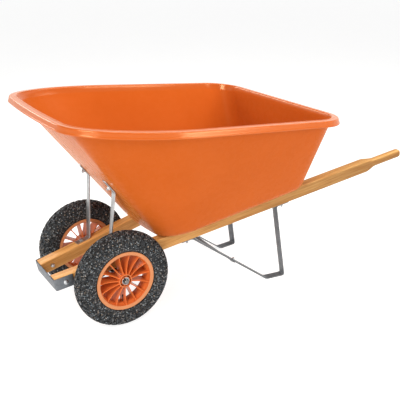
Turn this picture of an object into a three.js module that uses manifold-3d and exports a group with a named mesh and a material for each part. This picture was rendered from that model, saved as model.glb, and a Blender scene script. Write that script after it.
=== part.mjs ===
// A twin-wheel wheelbarrow: a moulded tub on two splayed wooden beams, with steel legs, braces and struts.
// Millimetres, +Z up. Places are worked out behind (+x) or ahead (-x) of the wheel axle, on the floor,
// and the whole model is centred over its own box at the end. +y is the user's right-hand side.
import * as THREE from "three";
import { mergeVertices } from "three/addons/utils/BufferGeometryUtils.js";
import Module from "manifold-3d";

const GAP = 0.4; // left between pieces that touch

// Wheels: a 3.25-8 tyre on an 8 inch plastic rim
const WHEEL_RADIUS = 180;
const HALF_TRACK = 178.5;
const TYRE_HALF_WIDTH = 42;
const TYRE_WALL = 8;
const RIM_FLANGE_RADIUS = 111.5;
const BEAD_RADIUS = 101.6;
const RIM_HALF_WIDTH = 31.5;
const RIM_WALL = 4.5;
const SPOKES = 15;
const SPOKE_THICKNESS = 3;
const HUB_RADIUS = 25;
const HUB_BORE = 14.4;
const HUB_HALF_LENGTH = 29;
const BUSH_LENGTH = 22;
const AXLE_RADIUS = 8;
const AXLE_CLEARANCE = 0.3;
const CLAMP_CLEARANCE = 0.7;
const AXLE_HALF_LENGTH = 219;
const WHEEL_INNER_Y = HALF_TRACK - HUB_HALF_LENGTH;
const WHEEL_OUTER_Y = HALF_TRACK + HUB_HALF_LENGTH;
const COLLAR_SEGMENTS = 16;
const SPACER_RADIUS = 12;
const WASHER_RADIUS = 10.4;
const WASHER_THICKNESS = 2.5;
const PIN_Y = WHEEL_OUTER_Y + GAP * 2 + WASHER_THICKNESS + 2.4;

// Wooden beams that end in the grips
const NOSE_X = -222;
const HANDLE_END_X = 1284;
const NOSE_Y = 70.6; // beam centreline at the nose
const NOSE_TOP_Z = 195.1;
const BEAM_SPLAY = 0.119; // sideways per unit of x
const BEAM_RISE = 0.192; // upwards per unit of x
const BEAM_WIDTH = 44;
const BEAM_HEIGHT = 46;
const SHOULDER_START_X = 1098;
const SHOULDER_END_X = 1158;
const GRIP_DIAMETER = 33;

// Tub: a flat floor on the beams, ruled walls and a rolled rim
const TUB_WALL = 4.5;
const TUB_SEAT = 1; // the floor clears the beams' middle lines by this much
const FLOOR_FRONT_X = 178.5;
const FLOOR_REAR_X = 788;
const FLOOR_HALF_FRONT = 205;
const FLOOR_HALF_REAR = 240;
const FLOOR_FRONT_CORNER = [150, 95]; // corner radii along x and y
const FLOOR_REAR_CORNER = 58;
const FLOOR_BOW = 6;
const FLOOR_EDGE = 36; // reach of the rounding between floor and wall
const RIM_FRONT_X = -226;
const RIM_REAR_X = 844;
const RIM_HALF_FRONT = 437.5;
const RIM_HALF_REAR = 424;
const RIM_FRONT_CORNER = [421, 214];
const RIM_REAR_CORNER = 136;
const RIM_BOW = 9;
const RIM_TOP_Z = 770.8; // above the axle
const RIM_FALL = 0.081; // downwards per unit of x
const LIP_WIDTH = 30;
const LIP_HEIGHT = 23;
const LIP_SHOULDER = 12; // the walls end this far below the rim's top

// Steel straps
const BRACKET_THICKNESS = 4;
const BRACKET_SIDE = 66;
const BRACKET_GAP = 1.3; // room for the beam ends inside the bends
const BRACKET_Y = BEAM_WIDTH / 2 + BRACKET_GAP + BRACKET_THICKNESS / 2; // out from the beam's middle
const BRACKET_DROP = -BEAM_HEIGHT / 2;
const LEG_WIDTH = 32;
const LEG_THICKNESS = 5;
const LEG_DROP = -(BEAM_HEIGHT + GAP + LEG_THICKNESS / 2); // its middle plane under the beam's top
const LEG_PATH_X = { frontEnd: 262, frontTop: 306, footFront: 649, footRear: 732, rearTop: 672, rearEnd: 728 };
const STRUT_WIDTH = 25;
const STRUT_THICKNESS = 4;
const STRUT_TOP_Y = 112.8;
const STRUT_BEND_Z = 487;
const STRUT_FLANGE_Z = 533;
const STRUT_FOOT_X = [-64, -10];
const WALL_SEAT = 1 + STRUT_THICKNESS / 2;
const BRACE_WIDTH = 22;
const BRACE_THICKNESS = 3;
const BRACE_TOP_X = 334;
const BRACE_FOOT_X = 492;
const BRACE_BOW = 6; // each brace leaves the straight line by this much where the two cross
const CLAMP_WIDTH = 30;
const CLAMP_THICKNESS = 4;

// Fasteners
const BOLT_RADIUS = 4;
const HOLE_RADIUS = 4.5;
const DRILL_SIDES = 10;
const NUT_FLATS = 13;
const NUT_HEIGHT = 6.5;
const SCREW_LENGTH = 30;
const HEX_FLAT = Math.cos(Math.PI / 6); // half flats over half corners
const TUB_BOLTS_X = [287, 703];
const NOSE_BOLT_X = -184;
const CLAMP_BOLTS_X = [-41, 41];
const STRUT_BOLT_Z = 507;

const wasm = await Module();
wasm.setup();

const point = (x, y, z) => new THREE.Vector3(x, y, z);
const Y_AXIS = point(0, 1, 0);

// ---- solids ----

function solidOf(geometry) {
  const bare = new THREE.BufferGeometry();
  bare.setAttribute("position", geometry.getAttribute("position"));
  bare.setIndex(geometry.index);
  const merged = mergeVertices(bare, 1e-4);
  return new wasm.Manifold(
    new wasm.Mesh({
      numProp: 3,
      vertProperties: merged.getAttribute("position").array,
      triVerts: new Uint32Array(merged.index.array),
    }),
  );
}

function geometryOf(solid) {
  const mesh = solid.getMesh();
  const geometry = new THREE.BufferGeometry();
  geometry.setAttribute("position", new THREE.BufferAttribute(mesh.vertProperties, 3));
  geometry.setIndex(new THREE.BufferAttribute(mesh.triVerts, 1));
  return geometry;
}

const joined = (geometries) => geometryOf(geometries.map(solidOf).reduce((a, b) => a.add(b)));

const cut = (geometry, tools) =>
  geometryOf(tools.map(solidOf).reduce((left, tool) => left.subtract(tool), solidOf(geometry)));

// Closes the ring of points that begins at `start` with a fan about its centre.
function cap(points, faces, start, count, flip) {
  const centre = point(0, 0, 0);
  for (let i = 0; i < count; i++) centre.addScaledVector(points[start + i], 1 / count);
  const hub = points.push(centre) - 1;
  for (let i = 0; i < count; i++) {
    const j = (i + 1) % count;
    faces.push(hub, start + (flip ? j : i), start + (flip ? i : j));
  }
}

// A skin over rings of equally many points, each ring closed by a fan, or the last ring joined to the first.
function loft(rings, endless = false) {
  const count = rings[0].length;
  const points = rings.flat();
  const faces = [];
  const spans = endless ? rings.length : rings.length - 1;
  for (let ring = 0; ring < spans; ring++) {
    const here = ring * count;
    const next = ((ring + 1) % rings.length) * count;
    for (let i = 0; i < count; i++) {
      const j = (i + 1) % count;
      faces.push(here + i, here + j, next + j, here + i, next + j, next + i);
    }
  }
  if (!endless) {
    cap(points, faces, 0, count, true);
    cap(points, faces, (rings.length - 1) * count, count, false);
  }
  return outwards(points, faces);
}

// Turns every face round when the skin encloses a negative volume.
function outwards(points, faces) {
  let volume = 0;
  for (let i = 0; i < faces.length; i += 3) {
    const [a, b, c] = [points[faces[i]], points[faces[i + 1]], points[faces[i + 2]]];
    volume += a.dot(b.clone().cross(c));
  }
  const geometry = new THREE.BufferGeometry().setFromPoints(points);
  geometry.setIndex(volume < 0 ? faces.toReversed() : faces);
  return geometry;
}

// A path with each inner corner turned into a short curve that starts `reach` before it.
function rounded(corners, reach, steps = 3) {
  const path = [corners[0]];
  for (let i = 1; i < corners.length - 1; i++) {
    const corner = corners[i];
    const before = corner.clone().sub(corners[i - 1]).setLength(reach);
    const after = corners[i + 1].clone().sub(corner).setLength(reach);
    const bend = new THREE.QuadraticBezierCurve3(corner.clone().sub(before), corner, corner.clone().add(after));
    path.push(...bend.getPoints(steps));
  }
  path.push(corners.at(-1));
  return path;
}

// A flat strap bent along a path. `across` is its width direction, one for all or one for each point.
function strap(path, across, width, thickness) {
  const acrossAt = (i) => (Array.isArray(across) ? across[i] : across);
  const heading = (i) => path[i + 1].clone().sub(path[i]).normalize();
  const rings = path.map((p, i) => {
    const before = heading(Math.max(i - 1, 0));
    const after = heading(Math.min(i, path.length - 2));
    const along = before.clone().add(after).normalize();
    const mitre = 1 / Math.max(along.dot(after), 0.5);
    const side = acrossAt(i).clone().setLength(width / 2);
    const normal = acrossAt(i).clone().cross(along).setLength((thickness / 2) * mitre);
    return [[-1, -1], [1, -1], [1, 1], [-1, 1]].map(([s, n]) =>
      p.clone().addScaledVector(side, s).addScaledVector(normal, n),
    );
  });
  return loft(rings);
}

// A turned solid whose profile is [radius, distance along its axis], laid along a direction from a place.
function turned(profile, segments, place, direction) {
  const geometry = new THREE.LatheGeometry(profile.map(([r, h]) => new THREE.Vector2(r, h)), segments);
  geometry.applyQuaternion(new THREE.Quaternion().setFromUnitVectors(Y_AXIS, direction.clone().normalize()));
  return outwards(...parts(geometry.translate(place.x, place.y, place.z)));
}

function parts(geometry) {
  const position = geometry.getAttribute("position");
  const points = Array.from({ length: position.count }, (_, i) => point().fromBufferAttribute(position, i));
  return [points, Array.from(geometry.index.array)];
}

// A drill standing on a place and reaching both ways.
function drill(place, direction, radius = HOLE_RADIUS, reach = 30) {
  return turned([[0, -reach], [radius, -reach], [radius, reach], [0, reach]], DRILL_SIDES, place, direction);
}

// ---- fasteners: each stands on a place, its head or body on the side of `direction` ----

function domeBolt(place, direction, length) {
  const profile = [[0, -length], [BOLT_RADIUS, -length], [BOLT_RADIUS, GAP], [9, GAP], [7.6, GAP + 3], [0, GAP + 4.8]];
  return turned(profile, 10, place, direction);
}

function hexBolt(place, direction, length, flats = NUT_FLATS) {
  const corner = flats / Math.sqrt(3);
  const head = turned([[0, GAP], [corner, GAP], [corner, GAP + 5], [0, GAP + 5.4]], 6, place, direction);
  const shank = turned([[0, -length], [BOLT_RADIUS, -length], [BOLT_RADIUS, 1], [0, 1]], 10, place, direction);
  return joined([head, shank]);
}

function hexNut(place, direction) {
  const corner = NUT_FLATS / Math.sqrt(3);
  const bore = (BOLT_RADIUS + 0.35) / HEX_FLAT;
  return turned([[bore, GAP], [corner, GAP], [corner, NUT_HEIGHT], [bore, NUT_HEIGHT], [bore, GAP]],
    6, place, direction);
}

// ---- right-hand beam and the directions that go with it ----

const ALONG = point(1, BEAM_SPLAY, BEAM_RISE).normalize();
const ACROSS = point(-BEAM_SPLAY, 1, 0).normalize();
const ABOVE = ALONG.clone().cross(ACROSS);
const BELOW = ABOVE.clone().negate();

// The point of the beam's top centreline at x, then so far outwards and above it.
function onBeam(x, outward = 0, above = 0) {
  const run = x - NOSE_X;
  return point(x, NOSE_Y + run * BEAM_SPLAY, NOSE_TOP_Z + run * BEAM_RISE)
    .addScaledVector(ACROSS, outward)
    .addScaledVector(ABOVE, above);
}

const beamTopZ = (x) => NOSE_TOP_Z + (x - NOSE_X) * BEAM_RISE;
const besideBeam = (x, z) => point(x, onBeam(x).y, z);

// A beam cross-section at x: a rectangle with its corners cut, about the middle of the beam's height.
function beamSection(x, width, height, corner) {
  const [w, h] = [width / 2, height / 2];
  const skew = x === NOSE_X ? ACROSS.x / ACROSS.y : 0;
  const outline = [[w, h - corner], [w - corner, h], [corner - w, h], [-w, h - corner],
    [-w, corner - h], [corner - w, -h], [w - corner, -h], [w, corner - h]];
  return outline.map(([outward, above]) =>
    onBeam(x, outward, above - BEAM_HEIGHT / 2).addScaledVector(ALONG, -skew * outward),
  );
}

function beam() {
  const grip = GRIP_DIAMETER;
  const bevel = grip * 0.29;
  const shoulder = SHOULDER_END_X - SHOULDER_START_X;
  const body = loft([
    beamSection(NOSE_X, BEAM_WIDTH, BEAM_HEIGHT, 3),
    beamSection(SHOULDER_START_X, BEAM_WIDTH, BEAM_HEIGHT, 3),
    beamSection(SHOULDER_START_X + shoulder * 0.4, BEAM_WIDTH - 2.5, BEAM_HEIGHT - 3, 5),
    beamSection(SHOULDER_START_X + shoulder * 0.8, grip + 3, grip + 4, 9),
    beamSection(SHOULDER_END_X, grip, grip, bevel),
    beamSection(HANDLE_END_X - 7, grip, grip, bevel),
    beamSection(HANDLE_END_X - 1, grip - 10, grip - 10, bevel * 0.7),
  ]);
  const deep = BEAM_HEIGHT + 20;
  const upright = [...TUB_BOLTS_X, CLAMP_BOLTS_X[0]].map((x) => drill(onBeam(x), ABOVE, HOLE_RADIUS, deep));
  const screwed = [CLAMP_BOLTS_X[1], BRACE_TOP_X].map((x) =>
    drill(onBeam(x, 0, -BEAM_HEIGHT), ABOVE, HOLE_RADIUS, SCREW_LENGTH + 4));
  const crossways = drill(onBeam(NOSE_BOLT_X, 0, -BEAM_HEIGHT / 2), ACROSS, HOLE_RADIUS, BEAM_WIDTH);
  return cut(body, [...upright, ...screwed, crossways]);
}

// ---- nose bracket: a U of flat steel round both beam ends ----


function noseBracket() {
  const front = onBeam(NOSE_X, 0, BRACKET_DROP).addScaledVector(ALONG, -BRACKET_GAP - BRACKET_THICKNESS / 2);
  const side = (x) => onBeam(x, BRACKET_Y, BRACKET_DROP);
  const corner = side(NOSE_X);
  const reach = (front.x - corner.x) / ALONG.x;
  corner.addScaledVector(ALONG, reach);
  const right = [side(NOSE_X + BRACKET_SIDE), corner];
  const left = right.map((p) => point(p.x, -p.y, p.z)).reverse();
  const height = point(-BEAM_RISE, 0, 1);
  const plate = strap(rounded([...right, ...left], 5), height, BEAM_HEIGHT - 1, BRACKET_THICKNESS);
  const bolt = onBeam(NOSE_BOLT_X, BEAM_WIDTH / 2, BRACKET_DROP);
  const mirrored = [point(bolt.x, -bolt.y, bolt.z), point(ACROSS.x, -ACROSS.y, 0)];
  return cut(plate, [drill(bolt, ACROSS, HOLE_RADIUS, 9), drill(...mirrored, HOLE_RADIUS, 9)]);
}

// ---- legs and their cross braces ----


function leg() {
  const flat = LEG_THICKNESS / 2;
  const { frontEnd, frontTop, footFront, footRear, rearTop, rearEnd } = LEG_PATH_X;
  const corners = [
    onBeam(frontEnd, 0, LEG_DROP),
    onBeam(frontTop, 0, LEG_DROP),
    besideBeam(footFront, flat),
    besideBeam(footRear, flat),
    onBeam(rearTop, 0, LEG_DROP),
    onBeam(rearEnd, 0, LEG_DROP),
  ];
  const bent = strap(rounded(corners, 9), ACROSS, LEG_WIDTH, LEG_THICKNESS);
  const bolts = TUB_BOLTS_X.map((x) => drill(onBeam(x, 0, LEG_DROP), ABOVE));
  return cut(bent, [...bolts, drill(braceFoot(), legFace(), 3.5, 12)]);
}

// Where a cross brace is bolted to the leg's front run, on the run's middle line.
function braceFoot() {
  const top = onBeam(LEG_PATH_X.frontTop, 0, LEG_DROP);
  const foot = besideBeam(LEG_PATH_X.footFront, LEG_THICKNESS / 2);
  return top.lerp(foot, (BRACE_FOOT_X - LEG_PATH_X.frontTop) / (LEG_PATH_X.footFront - LEG_PATH_X.frontTop));
}

// The upward normal of the leg's front run.
function legFace() {
  const top = onBeam(LEG_PATH_X.frontTop, 0, LEG_DROP);
  const foot = besideBeam(LEG_PATH_X.footFront, LEG_THICKNESS / 2);
  return foot.sub(top).cross(ACROSS).normalize();
}

const opposite = (p) => point(p.x, -p.y, p.z);

// From one leg's front run to the underside of the other beam. `face` is 1 above the leg's run, -1 below it.
function crossBrace(face) {
  const normal = legFace();
  const beamNormal = opposite(ABOVE);
  const seat = LEG_THICKNESS / 2 + GAP + BRACE_THICKNESS / 2;
  const bolt = braceFoot().addScaledVector(normal, face * seat);
  const screw = opposite(onBeam(BRACE_TOP_X, 0, -(BEAM_HEIGHT + GAP + BRACE_THICKNESS / 2)));
  const run = screw.clone().sub(bolt);
  const onLeg = run.clone().projectOnPlane(normal).normalize();
  const onUnderside = run.clone().projectOnPlane(beamNormal).normalize();
  const middle = bolt.clone().lerp(screw, 0.53).addScaledVector(normal, face * BRACE_BOW);
  const corners = [
    bolt.clone().addScaledVector(onLeg, -13),
    bolt.clone().addScaledVector(onLeg, 26),
    middle,
    screw.clone().addScaledVector(onUnderside, -16),
    screw.clone().addScaledVector(onUnderside, 13),
  ];
  const path = rounded(corners, 6, 2);
  const legAcross = normal.clone().cross(onLeg);
  const beamAcross = beamNormal.clone().cross(onUnderside);
  const across = path.map((_, i) => {
    const share = [0, 0, 0, 0, 0.5, 0.5, 0.5, 1, 1, 1, 1][i];
    return legAcross.clone().lerp(beamAcross, share);
  });
  const body = strap(path, across, BRACE_WIDTH, BRACE_THICKNESS);
  return cut(body, [drill(bolt, normal, 3.5, 9), drill(screw, beamNormal, HOLE_RADIUS, 9)]);
}

// ---- struts between the beams and the tub's front wall ----

// The tub's outer front wall at a height, beside the middle line.
function frontWall(y, z) {
  const floorZ = tubFloorZ(FLOOR_FRONT_X);
  const top = rimZ(RIM_FRONT_X + LIP_WIDTH) - LIP_SHOULDER;
  const up = (z - floorZ) / (top - floorZ);
  const flatTop = RIM_HALF_FRONT - RIM_FRONT_CORNER[1];
  const flatFloor = FLOOR_HALF_FRONT - FLOOR_FRONT_CORNER[1];
  const share = y / (flatFloor + (flatTop - flatFloor) * up);
  const bulge = 1 - share * share;
  const low = FLOOR_FRONT_X - FLOOR_BOW * bulge;
  const high = RIM_FRONT_X + LIP_WIDTH - RIM_BOW * bulge;
  return point(low + (high - low) * up, y, z);
}

const wallSlope = () => frontWall(STRUT_TOP_Y, STRUT_FLANGE_Z).sub(frontWall(STRUT_TOP_Y, STRUT_BEND_Z)).normalize();
const wallNormal = () => wallSlope().cross(Y_AXIS).normalize(); // forwards and down

function strut() {
  const seat = GAP + STRUT_THICKNESS / 2;
  const onWall = (z) => frontWall(STRUT_TOP_Y, z).addScaledVector(wallNormal(), WALL_SEAT);
  const corners = [onBeam(STRUT_FOOT_X[0], 0, seat), onBeam(STRUT_FOOT_X[1], 0, seat), onWall(STRUT_BEND_Z),
    onWall(STRUT_FLANGE_Z)];
  const path = rounded(corners, 7);
  const across = path.map((p) => (p.z < STRUT_BEND_Z - 60 ? ACROSS : Y_AXIS));
  const body = strap(path, across, STRUT_WIDTH, STRUT_THICKNESS);
  const foot = drill(onBeam(CLAMP_BOLTS_X[0], 0, seat), ABOVE, HOLE_RADIUS, 9);
  return cut(body, [foot, drill(onWall(STRUT_BOLT_Z), wallNormal(), HOLE_RADIUS, 9)]);
}

// ---- tub ----

const rimZ = (x) => RIM_TOP_Z - RIM_FALL * x;
const tubFloorZ = (x) => beamTopZ(x) + TUB_SEAT;
const FLOOR_NORMAL = point(-BEAM_RISE, 0, 1).normalize();

// Half a plan outline from the middle of the rear edge round to the middle of the front edge.
function planOutline({ front, rear, halfFront, halfRear, frontCorner, rearCorner, bow }) {
  const [radiusX, radiusY] = frontCorner;
  const quarter = (steps, place) => Array.from({ length: steps + 1 }, (_, i) => place((i / steps) * Math.PI / 2));
  const rearArc = quarter(5, (a) => [rear - rearCorner * (1 - Math.cos(a)), halfRear - rearCorner * (1 - Math.sin(a))]);
  const frontArc = quarter(7, (a) => [front + radiusX * (1 - Math.sin(a)), halfFront - radiusY * (1 - Math.cos(a))]);
  const sideStart = rearArc.at(-1);
  const side = [1, 2].map((i) => sideStart.map((value, k) => value + (frontArc[0][k] - value) * (i / 3)));
  const flat = halfFront - radiusY;
  const edge = [0.66, 0.33, 0].map((share) => [front - bow * (1 - share * share), flat * share]);
  return [[rear, 0], [rear, rearArc[0][1] / 2], ...rearArc, ...side, ...frontArc, ...edge];
}

// The whole outline: the right half, then the left half back to the rear.
function fullOutline(sizes) {
  const half = planOutline(sizes);
  const mirrored = half.slice(1, -1).reverse().map(([x, y]) => [x, -y]);
  return [...half, ...mirrored];
}

// Outward plan normals of a closed outline.
function planNormals(outline) {
  const count = outline.length;
  return outline.map((_, i) => {
    const [x0, y0] = outline[(i + count - 1) % count];
    const [x1, y1] = outline[(i + 1) % count];
    return point(y1 - y0, x0 - x1, 0).normalize();
  });
}

// The rim as [outwards, up] from the outer wall at the rim's top: under the lip, round its skirt, up its outer
// face and back inside over its flat top.
const LIP_PROFILE = [[6, -TUB_WALL - 0.2], [LIP_WIDTH - 12, -TUB_WALL - 0.2], [LIP_WIDTH - 8.5, -8],
  [LIP_WIDTH - TUB_WALL, -18], [LIP_WIDTH - TUB_WALL, -LIP_HEIGHT], [LIP_WIDTH, -LIP_HEIGHT], [LIP_WIDTH, -17],
  [LIP_WIDTH - 4, -4], [LIP_WIDTH - 5.5, -1.3], [LIP_WIDTH - 8.5, 0], [4, 0], [-1.5, -3.5]];

function tub() {
  const floorPlan = fullOutline({
    front: FLOOR_FRONT_X, rear: FLOOR_REAR_X, halfFront: FLOOR_HALF_FRONT, halfRear: FLOOR_HALF_REAR,
    frontCorner: FLOOR_FRONT_CORNER, rearCorner: FLOOR_REAR_CORNER, bow: FLOOR_BOW,
  });
  const topPlan = fullOutline({
    front: RIM_FRONT_X + LIP_WIDTH, rear: RIM_REAR_X - LIP_WIDTH,
    halfFront: RIM_HALF_FRONT - LIP_WIDTH, halfRear: RIM_HALF_REAR - LIP_WIDTH,
    frontCorner: RIM_FRONT_CORNER.map((r) => r - LIP_WIDTH), rearCorner: RIM_REAR_CORNER - LIP_WIDTH, bow: RIM_BOW,
  });
  const floorNormals = planNormals(floorPlan);
  const topNormals = planNormals(topPlan);
  const stations = floorPlan.map(([x, y], i) => {
    const foot = point(x, y, tubFloorZ(x));
    const head = point(...topPlan[i], rimZ(topPlan[i][0]) - LIP_SHOULDER);
    const inward = floorNormals[i].clone().negate();
    inward.z = inward.x * BEAM_RISE;
    inward.normalize();
    const up = head.clone().sub(foot).normalize();
    const half = Math.acos(inward.dot(up)) / 2;
    const innerFoot = foot.clone().addScaledVector(FLOOR_NORMAL, TUB_WALL);
    innerFoot.addScaledVector(inward, TUB_WALL / Math.tan(half));
    const wallInward = inward.clone().addScaledVector(up, -inward.dot(up)).normalize();
    const innerHead = head.clone().addScaledVector(wallInward, TUB_WALL);
    return { foot, head, inward, up, innerFoot, innerHead };
  });
  const edgeRing = (share, key, reach) => stations.map((s) => {
    const bend = new THREE.QuadraticBezierCurve3(s[key].clone().addScaledVector(s.inward, reach), s[key],
      s[key].clone().addScaledVector(s.up, reach));
    return bend.getPoint(share);
  });
  const lipRing = ([outward, up]) => stations.map((s, i) => {
    const place = point(...topPlan[i], 0).addScaledVector(topNormals[i], outward);
    place.z = rimZ(place.x) + up;
    return place;
  });
  const bends = [0, 0.33, 0.67, 1];
  const rings = [
    ...bends.map((share) => edgeRing(share, "foot", FLOOR_EDGE)),
    stations.map((s) => s.head),
    ...LIP_PROFILE.map(lipRing),
    stations.map((s) => s.innerHead),
    ...bends.toReversed().map((share) => edgeRing(share, "innerFoot", FLOOR_EDGE - 3)),
  ];
  const floorHoles = TUB_BOLTS_X.map((x) => [onBeam(x), ABOVE]);
  const wallHole = [frontWall(STRUT_TOP_Y, STRUT_BOLT_Z), wallNormal()];
  const holes = [...floorHoles, wallHole].flatMap(([place, direction]) => [
    drill(place, direction, HOLE_RADIUS, 14),
    drill(opposite(place), opposite(direction), HOLE_RADIUS, 14),
  ]);
  return cut(loft(rings), holes);
}

// ---- axle and what holds it under the beams ----

function axle() {
  const tip = AXLE_HALF_LENGTH;
  const bar = turned([[0, -tip], [AXLE_RADIUS - 1.5, -tip], [AXLE_RADIUS, 1.5 - tip], [AXLE_RADIUS, tip - 1.5],
    [AXLE_RADIUS - 1.5, tip], [0, tip]], 20, point(0, 0, WHEEL_RADIUS), Y_AXIS);
  const pin = (side) => drill(point(0, side * PIN_Y, WHEEL_RADIUS), point(0, 0, 1), 2.2, 14);
  return cut(bar, [pin(1), pin(-1)]);
}

// A strap that hugs the axle from below, with an ear under the beam ahead of it and one behind.
function axleClamp() {
  const beamMiddle = onBeam(0).y;
  const seat = BEAM_HEIGHT + GAP * 2 + CLAMP_THICKNESS / 2;
  const ear = (x) => point(0, beamMiddle, 0).setX(x).setZ(beamTopZ(x) - seat / ABOVE.z);
  const hug = AXLE_RADIUS + CLAMP_CLEARANCE + CLAMP_THICKNESS / 2;
  const round = [-90, -60, -30, 0, 30, 60, 90].map((angle) => {
    const a = THREE.MathUtils.degToRad(angle);
    return point(hug * Math.sin(a), beamMiddle, WHEEL_RADIUS - hug * Math.cos(a));
  });
  const path = [ear(-58), ear(-17), ...round.slice(1), ear(15), ear(58)];
  const body = strap(path, Y_AXIS, CLAMP_WIDTH, CLAMP_THICKNESS);
  return cut(body, CLAMP_BOLTS_X.map((x) => drill(onBeam(x, 0, -BEAM_HEIGHT), ABOVE, HOLE_RADIUS, 12)));
}


// A ring round the axle between two distances from the middle.
function collar(from, to, radius, bore = AXLE_RADIUS + AXLE_CLEARANCE) {
  return turned([[bore, from], [radius, from], [radius, to], [bore, to], [bore, from]],
    COLLAR_SEGMENTS, point(0, 0, WHEEL_RADIUS), Y_AXIS);
}

// The tube that keeps the wheel away from its beam.
const spacer = () => collar(onBeam(0).y + BEAM_WIDTH / 2 + 3, WHEEL_INNER_Y - GAP, SPACER_RADIUS);

const washer = () => collar(WHEEL_OUTER_Y + GAP, WHEEL_OUTER_Y + GAP + WASHER_THICKNESS, WASHER_RADIUS);

function splitPin() {
  const place = point(0, PIN_Y, WHEEL_RADIUS);
  const stem = turned([[0, -13], [1.1, -13], [1.8, -12], [1.8, 12], [0, 12]], 8, place, point(0, 0, 1));
  const eye = new THREE.TorusGeometry(3, 1.4, 5, 8).rotateX(Math.PI / 2);
  return joined([stem, outwards(...parts(eye.translate(place.x, place.y, place.z + 13.6)))]);
}

// ---- wheel, about the axle; its middle plane is HALF_TRACK out ----

const hubPlace = () => point(0, HALF_TRACK, WHEEL_RADIUS);

// Both faces of a tyre are alike, so the left one is the right one moved across.
function tyre(sign) {
  const bead = BEAD_RADIUS + 1.6;
  const tread = WHEEL_RADIUS;
  const wide = TYRE_HALF_WIDTH;
  const outside = [[bead, 27.4], [RIM_FLANGE_RADIUS + 1.2, 27.4], [120, wide - 4], [136, wide], [154, wide - 1.5],
    [168, wide - 10], [tread - 3.5, wide - 24], [tread, 0]];
  const inside = [[tread - TYRE_WALL, 0], [167, 18], [154, 31], [134, wide - TYRE_WALL], [bead, 24.5]];
  const left = (half) => half.filter(([, w]) => w > 0).map(([r, w]) => [r, -w]);
  const profile = [...outside, ...left(outside).reverse(), ...left(inside).reverse(), ...inside, outside[0]];
  return turned(profile, 32, point(0, sign * HALF_TRACK, WHEEL_RADIUS), Y_AXIS);
}

// A thin-walled ring inside the tyre with a valve that comes through the rim.
function innerTube() {
  const [middle, high, wide, wall] = [136.5, 33, 29, 2.2];
  const section = (inset) => Array.from({ length: 9 }, (_, i) => {
    const a = (i / 8) * Math.PI * 2;
    return [middle + (high - inset) * Math.cos(a), (wide - inset) * Math.sin(a)];
  });
  const ring = (inset) => turned(section(inset), 20, hubPlace(), Y_AXIS);
  const valveAxis = point(0, 0, -1);
  const valveAt = (r) => point(0, HALF_TRACK, WHEEL_RADIUS - r);
  const stem = turned([[0, -20], [3.6, -20], [3.6, 28], [2.4, 30], [0, 30]], 8, valveAt(106), valveAxis.clone().negate());
  const bore = drill(valveAt(96), valveAxis, 1.3, 26);
  return geometryOf(solidOf(ring(0)).add(solidOf(stem)).subtract(solidOf(ring(wall))).subtract(solidOf(bore)));
}

function valveCap() {
  const place = point(0, HALF_TRACK, WHEEL_RADIUS - 75.6);
  return turned([[0, 0], [4.6, 0], [4.6, 7], [3, 9], [0, 9]], 8, place, point(0, 0, 1));
}

// One plate spoke: full depth, its edges hollowed between hub and barrel.
function spoke(angle) {
  const half = [[HUB_RADIUS - 3, 27], [48, 22], [76, 22], [BEAD_RADIUS - 3, 27]];
  const outline = [...half, ...half.toReversed().map(([r, w]) => [r, -w])];
  const shape = new THREE.Shape(outline.map(([r, w]) => new THREE.Vector2(r, w)));
  const plate = new THREE.ExtrudeGeometry(shape, { depth: SPOKE_THICKNESS, bevelEnabled: false });
  plate.translate(0, 0, -SPOKE_THICKNESS / 2).rotateY(angle).translate(0, HALF_TRACK, WHEEL_RADIUS);
  plate.deleteAttribute("normal");
  plate.deleteAttribute("uv");
  return outwards(...parts(mergeVertices(plate, 1e-4)));
}

function rim() {
  const edge = RIM_HALF_WIDTH;
  const barrelHalf = [[90.5, 9], [BEAD_RADIUS - RIM_WALL, 21], [BEAD_RADIUS - RIM_WALL, edge], [RIM_FLANGE_RADIUS, edge],
    [RIM_FLANGE_RADIUS, edge - 3.4], [BEAD_RADIUS + 0.6, edge - 3.8], [BEAD_RADIUS, 14], [95, 9]];
  const hubHalf = [[HUB_BORE, HUB_HALF_LENGTH], [HUB_RADIUS, HUB_HALF_LENGTH]];
  const ring = (half, segments) => {
    const profile = [...half, ...half.toReversed().map(([r, w]) => [r, -w]), half[0]];
    return turned(profile, segments, hubPlace(), Y_AXIS);
  };
  const plates = Array.from({ length: SPOKES }, (_, i) => spoke(((i + 0.5) / SPOKES) * Math.PI * 2));
  return cut(joined([ring(barrelHalf, 2 * SPOKES), ring(hubHalf, 2 * SPOKES), ...plates]), [valveHole()]);
}

const valveHole = () => drill(point(0, HALF_TRACK, WHEEL_RADIUS - 96), point(0, 0, 1), 4.2, 12);

// A plastic-lined sleeve in one end of the hub. `side` is 1 at the outer end.
function bush(side) {
  const end = HALF_TRACK + side * (HUB_HALF_LENGTH - GAP);
  const start = end - side * BUSH_LENGTH;
  return collar(Math.min(start, end), Math.max(start, end), HUB_BORE - 0.6);
}

// ---- assembly ----

const PAINTS = {
  tub: ["#e1702a", 0.35, 0],
  wood: ["#dba766", 0.6, 0],
  zinc: ["#a9adb3", 0.45, 0.9],
  legSteel: ["#4b4d50", 0.5, 0.8],
  tyre: ["#1d1e20", 0.9, 0],
  rim: ["#e8622c", 0.4, 0],
  rubber: ["#242424", 0.8, 0],
  axle: ["#b5b8bb", 0.35, 0.9],
};

function named(name, paint, geometry) {
  const [color, roughness, metalness] = PAINTS[paint];
  const mesh = new THREE.Mesh(geometry, new THREE.MeshStandardMaterial({ color, roughness, metalness }));
  mesh.name = name;
  return mesh;
}

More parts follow.
